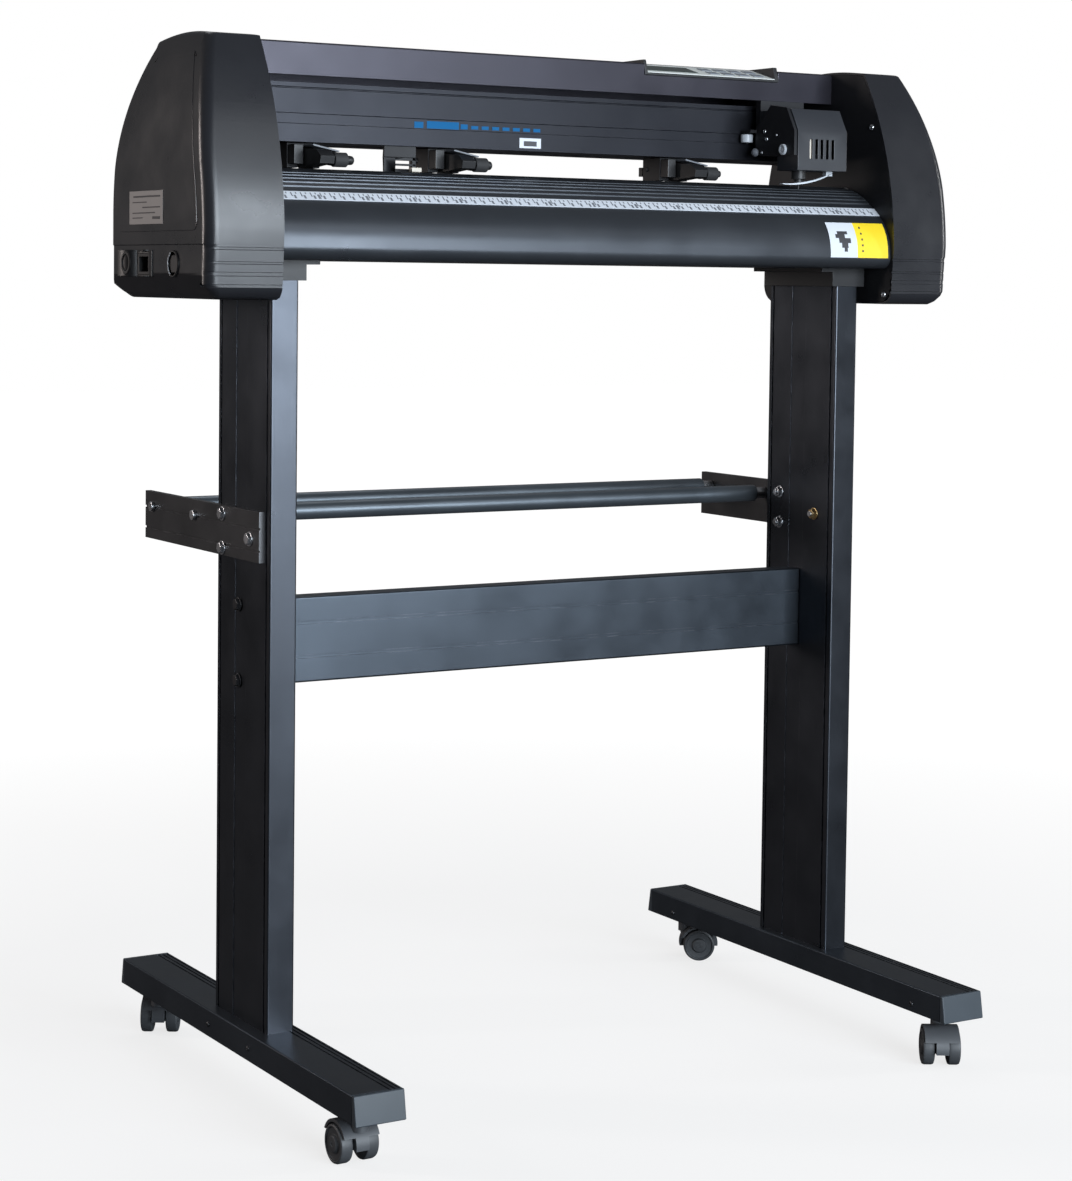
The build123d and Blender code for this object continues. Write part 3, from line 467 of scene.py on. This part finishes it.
def arc(first, middle, last, count, margin=0.0):
    """Points on the circle through three (a, b) points, from the first to the last."""
    (ax, ay), (bx, by), (cx, cy) = first, middle, last
    scale = 2 * (ax * (by - cy) + bx * (cy - ay) + cx * (ay - by))
    squares = (ax * ax + ay * ay, bx * bx + by * by, cx * cx + cy * cy)
    x = (squares[0] * (by - cy) + squares[1] * (cy - ay) + squares[2] * (ay - by)) / scale
    y = (squares[0] * (cx - bx) + squares[1] * (ax - cx) + squares[2] * (bx - ax)) / scale
    radius = sqrt((ax - x) ** 2 + (ay - y) ** 2)
    begin = atan2(ay - y, ax - x)
    sweep = (atan2(cy - y, cx - x) - begin + pi) % (2 * pi) - pi
    shares = [margin + (1 - 2 * margin) * step / count for step in range(count + 1)]
    angles = [begin + sweep * share for share in shares]
    points = [(x + radius * cos(angle), y + radius * sin(angle)) for angle in angles]
    if margin:
        points = [first, *points, last]
    return points


# --------------------------------------------------------------------------------- head end covers
CURVE_Y, CURVE_Z, CURVE_RADIUS = 66.94, 877.13, 360.73
SIDE_LINE_Z = 816.0
COVER_CREST = 1009.0
COVER_FRONT_Y, COVER_BACK_Y = -106.5, 122
FRONT_FOOT_Z = 828
CURVE_LOW = 866
CURVE_LEVELS = range(CURVE_LOW, 1000, 6)
CHAMFER_Z = HEAD_BOTTOM + 13
COVER_WALL = 2.4
PANEL_INSET, PANEL_LOW = 22, 834
FRONT_GROOVES = ((811.2, 813.0), (798.4, 800.0), (787.6, 790.6), (777.0, 779.4))
FOOT_TILT = 0.062
INLET_HOLE = (26.0, 54.0, 787.5, 807.5)
FUSE_HOLE = (73.5, 88.5, 791.5, 806.5)
ROCKER_HOLE = (-39.8, -22.2, 790.2, 805.8)


def side_x(z):
    """How far out the cover's side stands at a height: plumb, curving in above, chamfered below."""
    x = OUTER_X
    if z > CURVE_LOW:
        x = min(x, CURVE_Y + sqrt(CURVE_RADIUS ** 2 - (z - CURVE_Z) ** 2))
    if z < SIDE_LINE_Z:
        x -= min(SIDE_LINE_Z - z, 0.8)
    if z < CHAMFER_Z:
        x -= CHAMFER_Z - z
    return x


def cover_outline():
    """The cover's outline from the side as (y, z, groove depth, edge radius) points."""
    front = arc((-51, COVER_CREST), (-91.5, 921), (COVER_FRONT_Y, FRONT_FOOT_Z), 40, 0.03)[:-1]
    outline = [(y, z, 0.0, 12.0) for y, z in front]
    outline.append((COVER_FRONT_Y, FRONT_FOOT_Z, 0.0, 12.0))
    for low, high in FRONT_GROOVES:
        for z, depth in ((high + 0.5, 0.0), (high, 1.1), (low, 1.1), (low - 0.5, 0.0)):
            y = COVER_FRONT_Y + FOOT_TILT * (FRONT_FOOT_Z - z)
            outline.append((y, z, depth, 12.0))
    outline += [(-102, 773.5, 0.0, 9.0), (-98, 768.5, 0.0, 7.0), (-91, 766, 0.0, 5.0), (105, 766, 0.0, 5.0)]
    outline += [(y, z, 0.0, 8.0) for y, z in arc((105, 766), (117, 772), (COVER_BACK_Y, 788), 6)[1:]]
    outline += [(COVER_BACK_Y, 820, 0.0, 8.0), (COVER_BACK_Y, 850, 0.0, 8.0)]
    back = arc((COVER_BACK_Y, 850), (110.5, 921), (65, COVER_CREST), 36, 0.03)
    outline += [(y, z, 0.0, 8.0) for y, z in back[2:-1]]
    outline.append((65, COVER_CREST, 0.0, 5.0))
    crown = arc((65, COVER_CREST), (6, HEAD_TOP), (-51, COVER_CREST), 16, 0.06)
    outline += [(y, z, 0.0, 5.0) for y, z in crown[1:-1]]
    return outline


def inward(points):
    """For each corner of a closed outline, the step that moves both its edges inwards by one."""
    steps = []
    for index, here in enumerate(points):
        before, after = Vector(points[index - 1]), Vector(points[(index + 1) % len(points)])
        first = (Vector(here) - before).normalized()
        second = (after - Vector(here)).normalized()
        normal = (Vector((-first.y, first.x)) + Vector((-second.y, second.x))).normalized()
        steps.append(normal / max(normal.dot(Vector((-second.y, second.x))), 0.4))
    return steps


def side_skin(rings, levels, holes=()):
    """A skin through rings of (out, y, z) points, capped and cut at levels; bend_to_side bends it to the
    side's curve.

    out is 0 on the side face and -(OUTER_X - INNER_X) at the side plate."""
    bm = bmesh.new()
    count = len(rings[0])
    verts = [[bm.verts.new(point) for point in ring] for ring in rings]
    for ring, following in zip(verts, verts[1:]):
        for step in range(count):
            after = (step + 1) % count
            bm.faces.new((ring[step], ring[after], following[after], following[step]))
    bm.faces.new(verts[-1])
    planes = [((0, 0, level), (0, 0, 1)) for level in levels]
    for low, high, bottom, top in holes:
        planes += [((0, edge, 0), (0, 1, 0)) for edge in (low, high)]
        planes += [((0, 0, edge), (0, 0, 1)) for edge in (bottom, top)]
    for place, normal in planes:
        geometry = bm.verts[:] + bm.edges[:] + bm.faces[:]
        bmesh.ops.bisect_plane(bm, geom=geometry, plane_co=place, plane_no=normal, dist=0.0001)
    gone = []
    for face in bm.faces:
        middle = face.calc_center_median()
        for low, high, bottom, top in holes:
            if middle.x > -3 and low < middle.y < high and bottom < middle.z < top:
                gone.append(face)
    bmesh.ops.delete(bm, geom=gone, context="FACES")
    return bm


def bend_to_side(bm, side):
    """Moves a side skin from flat to the cover's real place, on the left or the right."""
    width = OUTER_X - INNER_X
    for vertex in bm.verts:
        share = 1 + vertex.co.x / width
        x = INNER_X + (side_x(vertex.co.z) - INNER_X) * share
        vertex.co = Vector((side * x, vertex.co.y, vertex.co.z)) * MM
    bmesh.ops.recalc_face_normals(bm, faces=bm.faces)
    outermost = max(bm.faces, key=lambda face: side * face.calc_center_median().x)
    if side * outermost.normal.x < 0:
        bmesh.ops.reverse_faces(bm, faces=bm.faces)


def end_cover(name, side, holes):
    """A moulded end cover: rounded rim, fine grooves round the front foot and a raised side panel."""
    outline = cover_outline()
    flat = [(y, z) for y, z, _, _ in outline]
    steps = inward(flat)
    width = OUTER_X - INNER_X
    rings = []
    for out, turn in ((-width, 0), (-width + 0.8, 0), *[(None, step / 7) for step in range(8)]):
        ring = []
        for (y, z, groove, radius), step in zip(outline, steps):
            angle = turn * pi / 2
            shift = radius * (1 - cos(angle)) + groove * (1 - turn)
            x = out if out is not None else -radius * (1 - sin(angle))
            ring.append((x, y + step.x * shift, z + step.y * shift))
        rings.append(ring)
    levels = [CHAMFER_Z, SIDE_LINE_Z - 0.8, SIDE_LINE_Z, *CURVE_LEVELS]
    bm = side_skin(rings, levels, holes)
    bend_to_side(bm, side)
    mesh = bpy.data.meshes.new(name)
    bm.to_mesh(mesh)
    shell = bpy.data.objects.new(name, mesh)
    bpy.context.scene.collection.objects.link(shell)
    wall = shell.modifiers.new("wall", "SOLIDIFY")
    wall.thickness = COVER_WALL * MM
    wall.offset = -1
    apply_modifiers(shell)
    mesh = shell.data
    bpy.data.objects.remove(shell)
    cover = install(
        f"{name}_shell", mesh, cover_plastic, "stand", "cover_plastic", (name,), 0.0, 40,
    )
    raised = []
    inset = [(y + step.x * PANEL_INSET, z + step.y * PANEL_INSET) for (y, z), step in zip(flat, steps)]
    kept = [point for point in inset if point[1] > PANEL_LOW]
    low_corner = kept.index(min(kept, key=lambda point: point[1] + (point[0] > 0) * 999))
    front_y, back_y = kept[low_corner][0], kept[low_corner + 1][0]
    corner = ((0.3, 833), (3, 829.4), (7, 828))
    foot = [(front_y + step, z) for step, z in corner] + [(back_y - step, z) for step, z in corner[::-1]]
    panel = kept[:low_corner + 1] + foot + kept[low_corner + 1:]
    panel_steps = inward(panel)
    for out, shift in ((-0.6, 0.0), (0.0, 0.0), (0.45, 0.15), (0.6, 0.6)):
        edge = zip(panel, panel_steps)
        raised.append([(out, y + step.x * shift, z + step.y * shift) for (y, z), step in edge])
    bm = side_skin(raised, CURVE_LEVELS)
    bend_to_side(bm, side)
    mesh = bpy.data.meshes.new(f"{name}_panel")
    bm.to_mesh(mesh)
    install(f"{name}_panel", mesh, cover_plastic, "stand", "cover_plastic", (), 0.0, 50)
    return cover


left_cover = end_cover("left_end_cover", -1, (INLET_HOLE, FUSE_HOLE, ROCKER_HOLE))
end_cover("right_end_cover", 1, ())


# ------------------------------------------------------------------- CAD pieces with rounded edges
SPECIAL_LOOKS = {
    "carriage_block": plate_paint, "guide_beam": beam_metal, "beam_hood": hood_metal,
    "front_media_roller": roller_metal, "rear_media_roller": roller_metal,
    "left_roll_bracket": bracket_metal, "right_roll_bracket": bracket_metal,
}
SOFT_EDGES = {
    "left_leg": 0.7, "right_leg": 0.7, "left_foot": 0.6, "right_foot": 0.6, "foot_end_caps": 1.2,
    "cross_rail": 0.6, "left_roll_bracket": 0.7, "right_roll_bracket": 0.7, "roller_axles": 0.5,
    "head_saddles": 1.0, "front_media_roller": 0.8, "rear_media_roller": 0.8,
    "left_side_plate": 0.4, "right_side_plate": 0.4, "platen": 0.35, "ruler_strip": 0.1,
    "guide_beam": 0.4, "beam_hood": 0.5, "panel_frame": 0.7, "panel_overlay": 0.15,
    "grit_shaft": 0.4, "grit_bearings": 0.4, "feed_motor": 0.8, "feed_motor_pulley": 0.4, "feed_belt": 0.25,
    "carriage_belt": 0.25, "drive_pulley": 0.2, "idler_pulley": 0.2, "carriage_motor": 0.8,
    "carriage_block": 0.5, "guide_roller": 0.8, "carriage_cover": 0.9, "tool_slide": 0.6, "blade_holder": 0.5,
    "power_inlet": 0.5, "power_rocker": 0.6, "power_supply": 0.7, "main_board": 0.3,
}
for number in (1, 2, 3):
    SOFT_EDGES[f"pinch_mount_{number}"] = 0.8
    SOFT_EDGES[f"pinch_arm_{number}"] = 0.8
    SOFT_EDGES[f"pinch_roller_{number}"] = 0.4
    SPECIAL_LOOKS[f"pinch_mount_{number}"] = plate_paint
for place in ("front_left", "front_right", "rear_left", "rear_right"):
    SOFT_EDGES[f"caster_fork_{place}"] = 0.8
finished = {node: soften(node, width, SPECIAL_LOOKS.get(node)) for node, width in SOFT_EDGES.items()}


# -------------------------------------------------------------------------------- castor wheels
def castor_wheels(place):
    """Two moulded discs with a rounded tread, a sunk face and a raised hub, on one axle."""
    node = f"caster_wheels_{place}"
    low, high = (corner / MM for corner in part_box(node))
    centre = (low + high) / 2
    joint = next(joint for joint in frame["joints"] if joint["child"] == frame["nodes"][node]["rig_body"])
    axle = Vector(joint["axis"]).normalized()
    shape = Shape()
    profile = (
        (5.0, 6.9), (15.5, 6.9), (17.4, 7.6), (18.0, 9.2), (18.0, 16.6), (17.3, 18.4),
        (15.8, 19.0), (15.0, 18.7), (14.4, 17.6), (9.0, 17.2), (8.4, 17.6), (7.6, 19.4),
        (6.8, 19.8), (2.4, 19.9), (2.0, 19.2), (0.0, 19.2),
    )
    for flank in (-1, 1):
        shape.lathe(profile, centre, axle * flank, 56)
    shape.lathe(((3.0, -8.0), (3.0, 8.0)), centre, axle, 24)
    body = frame["nodes"][node]["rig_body"]
    shape.install(f"{node}_discs", wheel_plastic, body, "wheel_plastic", (node,), 0.0, 40)


for place in ("front_left", "front_right", "rear_left", "rear_right"):
    castor_wheels(place)


# --------------------------------------------------------------------------------- bolts and screws
def hexagon(shape, seat, direction, radius=5.5, height=4.0):
    """A washer and a hexagon head with a rounded crown, standing on a seat."""
    washer = ((radius + 1.4, 0.0), (radius + 1.4, 0.8), (radius + 1.1, 1.0), (1.0, 1.0))
    shape.lathe(washer, seat, direction, 32)
    crown = ((radius * 1.05, 1.0), (radius * 1.05, height - 0.5), (radius * 0.9, height), (0.0, height))
    shape.lathe(crown, seat, direction, 6)


def pan_screw(shape, seat, direction, radius=3.2):
    """A low domed screw head with a sunk middle."""
    dome = (
        (radius, 0.0), (radius, radius * 0.2), (radius * 0.85, radius * 0.45), (radius * 0.5, radius * 0.6),
        (radius * 0.4, radius * 0.58), (radius * 0.3, radius * 0.25), (0.0, radius * 0.25),
    )
    shape.lathe(dome, seat, direction, 28)


LEG_OUTER, LEG_INNER = LEG_HIGH.x, LEG_LOW.x
BRACKET_FACE = LEG_OUTER + 6.0
silver, dark, yellow = Shape(), Shape(), Shape()
for side in (-1, 1):
    for y, z in ((35.0, 560.0), (35.0, 527.0), (-27.0, 541.0)):
        hexagon(silver, (side * BRACKET_FACE, y, z), (side, 0, 0))
        inner = yellow if side > 0 and y < 0 else silver
        hexagon(inner, (side * LEG_INNER, y, z), (-side, 0, 0), 5.2, 5.0)
        silver.lathe(((2.9, 0.0), (2.9, 34.0)), (side * (LEG_INNER - 7), y, z), (side, 0, 0), 20)
    for z in (402.0, 475.0):
        hexagon(dark, (side * LEG_OUTER, 10.0, z), (side, 0, 0))
        dark.lathe(((2.9, 0.0), (2.9, 40.0)), (side * (LEG_OUTER - 40), 10.0, z), (side, 0, 0), 20)
silver.install("bracket_bolts", zinc, "stand", "zinc", ("stand_bolts",), 0.25)
dark.install("rail_bolts", bolt_black, "stand", "bolt_black", (), 0.25)
yellow.install("leg_bolt", brass, "stand", "zinc", (), 0.25)

heads = Shape()
for side in (-1, 1):
    for y, z in ((-66, 952), (-91, 776), (72, 952), (104, 790)):
        pan_screw(heads, (side * (INNER_X + 0.1), y, z), (-side, 0, 0))
heads.install("plate_screw_heads", zinc, "stand", "zinc", ("cover_screws",), 0.0)

foot_screws = Shape()
for side in (-1, 1):
    for y in (-46.0, 46.0):
        pan_screw(foot_screws, (side * 354.6, y, 61.6), (side, 0, 0), 2.8)
    for y in (-216.0, 216.0):
        pan_screw(foot_screws, (side * 304.4, y, 57.5), (-side, 0, 0), 2.8)
foot_screws.install("foot_screw_heads", bolt_black, "stand", "zinc", (), 0.0)


# ------------------------------------------------------------------------------ left end fittings
FITTING_FACE = -OUTER_X + 0.8
ROCKER_Y, ROCKER_Z = -31, 798
FUSE_Y, FUSE_Z = 81, 799

ring = Shape()
rim = ((12.6, 0.0), (12.6, 1.4), (11.8, 2.0), (11.0, 2.0), (10.8, 0.6), (10.7, -4.0), (12.0, -4.0))
ring.lathe(rim, (FITTING_FACE, ROCKER_Y, ROCKER_Z), (-1, 0, 0))
ring.install("rocker_bezel", fitting_black, "stand", "black_plastic", (), 0.0)
# Painted highlight: short pale dashes laid in an arc on the rear side of the rocker bezel stand in for the
# light crescent the glossy ring catches; they are no real marking.
painted_crescent = Shape()
for angle in range(-60, 61, 12):
    x = -OUTER_X - 1.25
    y = ROCKER_Y + 11.0 * cos(radians(angle))
    z = ROCKER_Z + 11.0 * sin(radians(angle))
    painted_crescent.box((x, x + 0.5), (y - 0.45, y + 0.45), (z - 1.2, z + 1.2))
painted_crescent.install("rocker_painted_highlight", pale_plastic, "stand", "pale_plastic", (), 0.1)
surround = Shape()
surround_boxes = (
    ((54.2, 103), (786, 811)), ((25.8, 54.2), (807.7, 811)),
    ((25.8, 54.2), (786, 787.3)), ((19, 25.8), (786, 811)),
)
for y, z in surround_boxes:
    surround.box((-OUTER_X - 0.5, -OUTER_X + 1.2), y, z)
surround.install("inlet_surround", fitting_black, "stand", "black_plastic", (), 0.4)
cap = Shape()
cap_profile = (
    (11.4, 0.0), (11.4, 1.6), (10.4, 2.4), (8.2, 2.4), (7.4, 1.2), (6.6, -2.0), (6.0, -2.0), (5.6, 0.8),
    (4.8, 1.2), (0.0, 1.2),
)
cap.lathe(cap_profile, (FITTING_FACE, FUSE_Y, FUSE_Z), (-1, 0, 0))
cap.install("fuse_cap", fitting_black, "stand", "black_plastic", ("fuse_holder",), 0.0)
printed("side_label", left_cover, label_grey, "ruler_white", "stand", ((-8, 72, 835, 866),), "x", 8, 0.9)
lines = [(-2, 62, 860, 861.6), (30, 64, 855, 856), (-2, 40, 850, 851.2), (10, 64, 845, 846)]
lines += [(40, 64, 840.5, 841.4), (-2, 16, 839.5, 842)]
printed("side_label_lines", left_cover, print_dark, "ruler_white", "stand", lines, "x", 4, 1.1)


# ---------------------------------------------------------------------- prints on platen and beam
platen_shown = finished["platen"]
printed("notice_white", platen_shown, white_print, "ruler_white", "stand", ((273, 308, 814, 850),), steps=6)
printed("notice_yellow", platen_shown, yellow_print, "ruler_white", "stand", ((308, 348, 814, 850),), steps=6)
icon = [(284, 297, 838, 841), (281, 293, 834, 838), (285, 300, 829, 834), (288, 296, 824, 829)]
icon += [(291, 295, 820, 824)]
icon += [(314, 316, z, z + 2) for z in range(820, 846, 6)]
printed("notice_icon", platen_shown, print_dark, "ruler_white", "stand", icon, steps=2, lift=0.3)
scale_marks = []
for index in range(-68, 69):
    x = index * 5.0
    tall = 863.8 if index % 2 else 861.4
    scale_marks.append((x - 0.5, x + 0.5, tall, 865.2))
    if index % 2 == 0:
        scale_marks.append((x + 1.6, x + 3.6, 859.4, 862.4))
    if index % 10 == 0:
        scale_marks.append((x - 3.8, x - 1.4, 859.4, 863.4))
ruler, beam = finished["ruler_strip"], finished["guide_beam"]
printed("ruler_marks", ruler, grey_print, "ruler_white", "stand", scale_marks, steps=1, lift=0.12)
stripe = [(-158, -148, 934.4, 940.6), (-144, -108, 934.4, 941.6), (-106, -98, 935.0, 940.0)]
stripe += [(x, x + 8, 935.4, 938.8) for x in range(-94, -20, 12)]
printed("beam_stripe", beam, blue_print, "ruler_white", "stand", stripe, steps=2)
printed("beam_mark", beam, white_print, "ruler_white", "stand", ((-39, -14, 919, 929),), steps=2)
mark_window = ((-34, -19, 921, 926),)
printed("beam_mark_window", beam, print_dark, "ruler_white", "stand", mark_window, steps=2, lift=0.3)


# ------------------------------------------------------------------------------ pinch assemblies
for number, drum_x in enumerate((-254.0, -100.0, 175.0), 1):
    arm = frame["nodes"][f"pinch_arm_{number}"]["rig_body"]
    mount = frame["nodes"][f"pinch_mount_{number}"]["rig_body"]
    lever = Shape()
    profile = (
        (0.0, -6.0), (4.5, -6.0), (5.4, -4.0), (6.2, 4.0), (5.6, 10.0), (3.4, 16.0), (2.9, 19.0), (4.0, 20.5),
        (4.6, 22.5), (4.2, 25.5), (2.6, 27.0), (0.0, 27.2),
    )
    lever.lathe(profile, (drum_x + 1, 4, 900.5), (1, 0, -0.02), 28)
    lever.box((drum_x - 9, drum_x - 1), (-2, 12), (896, 906))
    lever.install(f"pinch_lever_{number}", black_plastic, arm, "black_plastic", (), 0.5)
    plate = Shape()
    slope = ((drum_x - 20, 912.6), (drum_x + 8, 907.2), (drum_x + 8.6, 908.6), (drum_x - 19.6, 914.2))
    plate.prism(slope, "y", -6, 14)
    plate.install(f"pinch_plate_{number}", grey_plastic, arm, "black_plastic", (), 0.4)
    block = Shape()
    block.box((drum_x - 35, drum_x - 25), (4, 20), (895, 914))
    block.install(f"pinch_block_{number}", black_plastic, mount, "dark_steel", (), 1.0)

bracket = Shape()
bracket.box((-190, -155), (8, 11), (905, 916))
bracket.box((-190, -178), (8, 11), (890.5, 905))
bracket.box((-178, -155), (8, 11), (890.5, 894))
bracket.box((-178, -155), (8, 11), (897, 899))
bracket.box((-178, -155), (8, 11), (902, 905))
bracket.box((-159, -155), (8, 11), (894, 905))
bracket.install("sensor_bracket", plate_paint, "stand", "black_plastic", (), 0.4)
sensor = Shape()
sensor.box((-163, -152), (1, 8.5), (891, 895.5))
sensor.install("edge_sensor", cream_plastic, "stand", "pale_plastic", (), 0.8)


# ------------------------------------------------------------------------------------- carriage
CHEEK_X = 239.4

cheek_screws = Shape()
for y, z, radius in ((-28.6, 944.9, 2.3), (-32.0, 936.9, 2.3), (-49.1, 940.3, 1.5), (-23.7, 923.2, 1.6)):
    pan_screw(cheek_screws, (CHEEK_X, y, z), (-1, 0, 0), radius)
for x, y in ((262.0, -50.0), (276.0, -48.0)):
    pan_screw(cheek_screws, (x, y, 966.9), (0, 0, 1), 2.2)
cheek_screws.install("carriage_screws", zinc, "carriage", "zinc", (), 0.0)
bearing = Shape()
face = ((0.0, 2.4), (2.0, 2.4), (2.4, 1.8), (3.2, 1.8), (3.6, 2.6), (5.0, 2.6), (5.6, 2.0), (5.6, 0.0))
bearing.lathe(face, (CHEEK_X, -62.0, 925.0), (-1, 0, 0))
bearing.install("carriage_bearing", pale_plastic, "carriage", "pale_plastic", (), 0.0)
stud = Shape()
knob = ((0.0, 4.6), (2.2, 4.2), (3.8, 2.8), (4.4, 0.8), (4.0, -1.0), (2.6, -3.0))
stud.lathe(knob, (238.4, -14.0, 923.5), (-1, 0, 0))
stud.install("carriage_stud", grey_plastic, "carriage", "black_plastic", (), 0.0)
guard = Shape()
curve = arc((236, 889.0), (268, 890.8), (300, 901.5), 14)
outer = [(x, z + 2.0 * sin(pi * (0.15 + 0.7 * step / 14))) for step, (x, z) in enumerate(curve)]
guard.prism(curve + outer[::-1], "y", -66, -60)
guard.prism(((292, 899), (300, 899), (300, 908), (292, 908)), "y", -66, -60)
guard.install("carriage_guard", pale_plastic, "carriage", "pale_plastic", (), 0.3)
inside = Shape()
inside.box((257, 262.5), (-79.6, -78.4), (914, 936))
inside.install("vent_backing", cream_plastic, "carriage", "pale_plastic", (), 0.3)


# ---------------------------------------------------------------------------------------- panel
SLOPE = Vector((0, 41.4, 11.34)).normalized()
FACE = Vector((0, -11.34, 41.4)).normalized()
keys, window = Shape(), Shape()


def tile(shape, x, along, width, depth, height):
    """A rounded tile standing on the sloping overlay."""
    corner = Vector((x, 4.3, 1002.95)) + SLOPE * along
    rings = []
    for rise, inset in ((0.0, 0.0), (height * 0.7, 0.0), (height, 0.5)):
        base = corner + FACE * rise
        left, right, near, far = inset, width - inset, inset, depth - inset
        corners = ((left, near), (right, near), (right, far), (left, far))
        rings.append([base + Vector((across, 0, 0)) + SLOPE * up for across, up in corners])
    shape.loft(rings)


for column in range(4):
    for row in range(2):
        tile(keys, 196 + column * 19, 7 + row * 16, 13, 10, 0.9)
tile(window, 120, 8, 62, 25, 0.5)
keys.install("panel_keys", key_plastic, "stand", "overlay", (), 0.0)
window.install("panel_window", window_green, "stand", "overlay", (), 0.0)


# --------------------------------------------------------------------------- camera, light, floor
def place_camera():
    """The photograph's viewpoint: front left, a little below the head's middle."""
    yaw, pitch, roll = radians(31.075), radians(-3.098), radians(0.687)
    forward = Vector((sin(yaw) * cos(pitch), cos(yaw) * cos(pitch), sin(pitch)))
    level = Vector((cos(yaw), -sin(yaw), 0))
    upright = level.cross(forward)
    right = level * cos(roll) + upright * sin(roll)
    up = upright * cos(roll) - level * sin(roll)
    data = bpy.data.cameras.new("camera")
    data.lens = 79.56
    data.sensor_width = 36.0
    data.shift_y = -0.1444
    data.clip_end = 60
    camera = bpy.data.objects.new("camera", data)
    turn = Matrix((right, up, -forward)).transposed()
    camera.matrix_world = Matrix.Translation((-1.37814, -2.25577, 0.7883)) @ turn.to_4x4()
    bpy.context.scene.collection.objects.link(camera)
    bpy.context.scene.camera = camera


def softbox(name, position, target, width, height, power, color=(1, 1, 1)):
    data = bpy.data.lights.new(name, "AREA")
    data.shape = "RECTANGLE"
    data.size = width
    data.size_y = height
    data.energy = power
    data.color = color
    light = bpy.data.objects.new(name, data)
    light.location = position
    light.rotation_euler = (Vector(target) - Vector(position)).to_track_quat("-Z", "Y").to_euler()
    bpy.context.scene.collection.objects.link(light)


def set_studio():
    """A white surround, seen by the camera at full strength, and softboxes in front, left and above."""
    scene = bpy.context.scene
    scene.view_settings.view_transform = "Standard"
    world = bpy.data.worlds.new("studio")
    scene.world = world
    world.use_nodes = True
    nodes, links = world.node_tree.nodes, world.node_tree.links
    seen = nodes["Background"]
    seen.inputs["Color"].default_value = (1, 1, 1, 1)
    seen.inputs["Strength"].default_value = 1.0
    fill = nodes.new("ShaderNodeBackground")
    fill.inputs["Color"].default_value = (0.93, 0.95, 1, 1)
    fill.inputs["Strength"].default_value = 0.12
    path = nodes.new("ShaderNodeLightPath")
    mix = nodes.new("ShaderNodeMixShader")
    links.new(path.outputs["Is Camera Ray"], mix.inputs[0])
    links.new(fill.outputs[0], mix.inputs[1])
    links.new(seen.outputs[0], mix.inputs[2])
    links.new(mix.outputs[0], nodes["World Output"].inputs["Surface"])
    softbox("front", (0.3, -4.6, 1.2), (0, 0, 0.85), 3.4, 2.0, 320, (0.82, 0.91, 1.0))
    softbox("high front", (0.9, -3.4, 3.1), (0, 0, 0.9), 2.4, 0.9, 14, (0.90, 0.95, 1.0))
    softbox("left strip", (-3.0, 2.1, 1.35), (-0.4, 0, 1.0), 0.45, 1.4, 40, (1.0, 0.90, 0.86))
    softbox("right strip", (3.4, -1.3, 1.2), (0.3, 0, 0.9), 0.25, 1.8, 30)
    softbox("top", (0.3, 1.9, 3.6), (0, 0.1, 0.6), 2.6, 1.6, 22, (0.95, 0.97, 1.0))


def lay_floor():
    """A plain pale floor that takes soft shadows near the stand and fades into the white surround."""
    bm = bmesh.new()
    bmesh.ops.create_grid(bm, x_segments=24, y_segments=24, size=14)
    mesh = bpy.data.meshes.new("floor")
    bm.to_mesh(mesh)
    floor = bpy.data.objects.new("floor", mesh)
    bpy.context.scene.collection.objects.link(floor)
    shader = Shader("pale floor")
    nodes, links = shader.nodes, shader.links
    tone = shader.mix(shader.noise((2, 2, 2)), (0.84, 0.845, 0.85), (0.88, 0.88, 0.88))
    seen = nodes.new("ShaderNodeLightPath").outputs["Is Camera Ray"]
    shader.set(Base_Color=shader.mix(seen, (0.05, 0.05, 0.055), tone), Roughness=0.7)
    distance = nodes.new("ShaderNodeVectorMath")
    distance.operation = "LENGTH"
    links.new(shader.coordinates, distance.inputs[0])
    far = shader.ramp(distance.outputs["Value"], 0.7, 2.2, 0.72, 1.0)
    glow = nodes.new("ShaderNodeEmission")
    glow.inputs["Color"].default_value = (1, 1, 1, 1)
    glow.inputs["Strength"].default_value = 1.05
    mix = nodes.new("ShaderNodeMixShader")
    links.new(shader.math("MULTIPLY", far, seen), mix.inputs[0])
    links.new(shader.body.outputs["BSDF"], mix.inputs[1])
    links.new(glow.outputs["Emission"], mix.inputs[2])
    links.new(mix.outputs["Shader"], nodes["Material Output"].inputs["Surface"])
    mesh.materials.append(shader.material)


place_camera()
set_studio()
lay_floor()
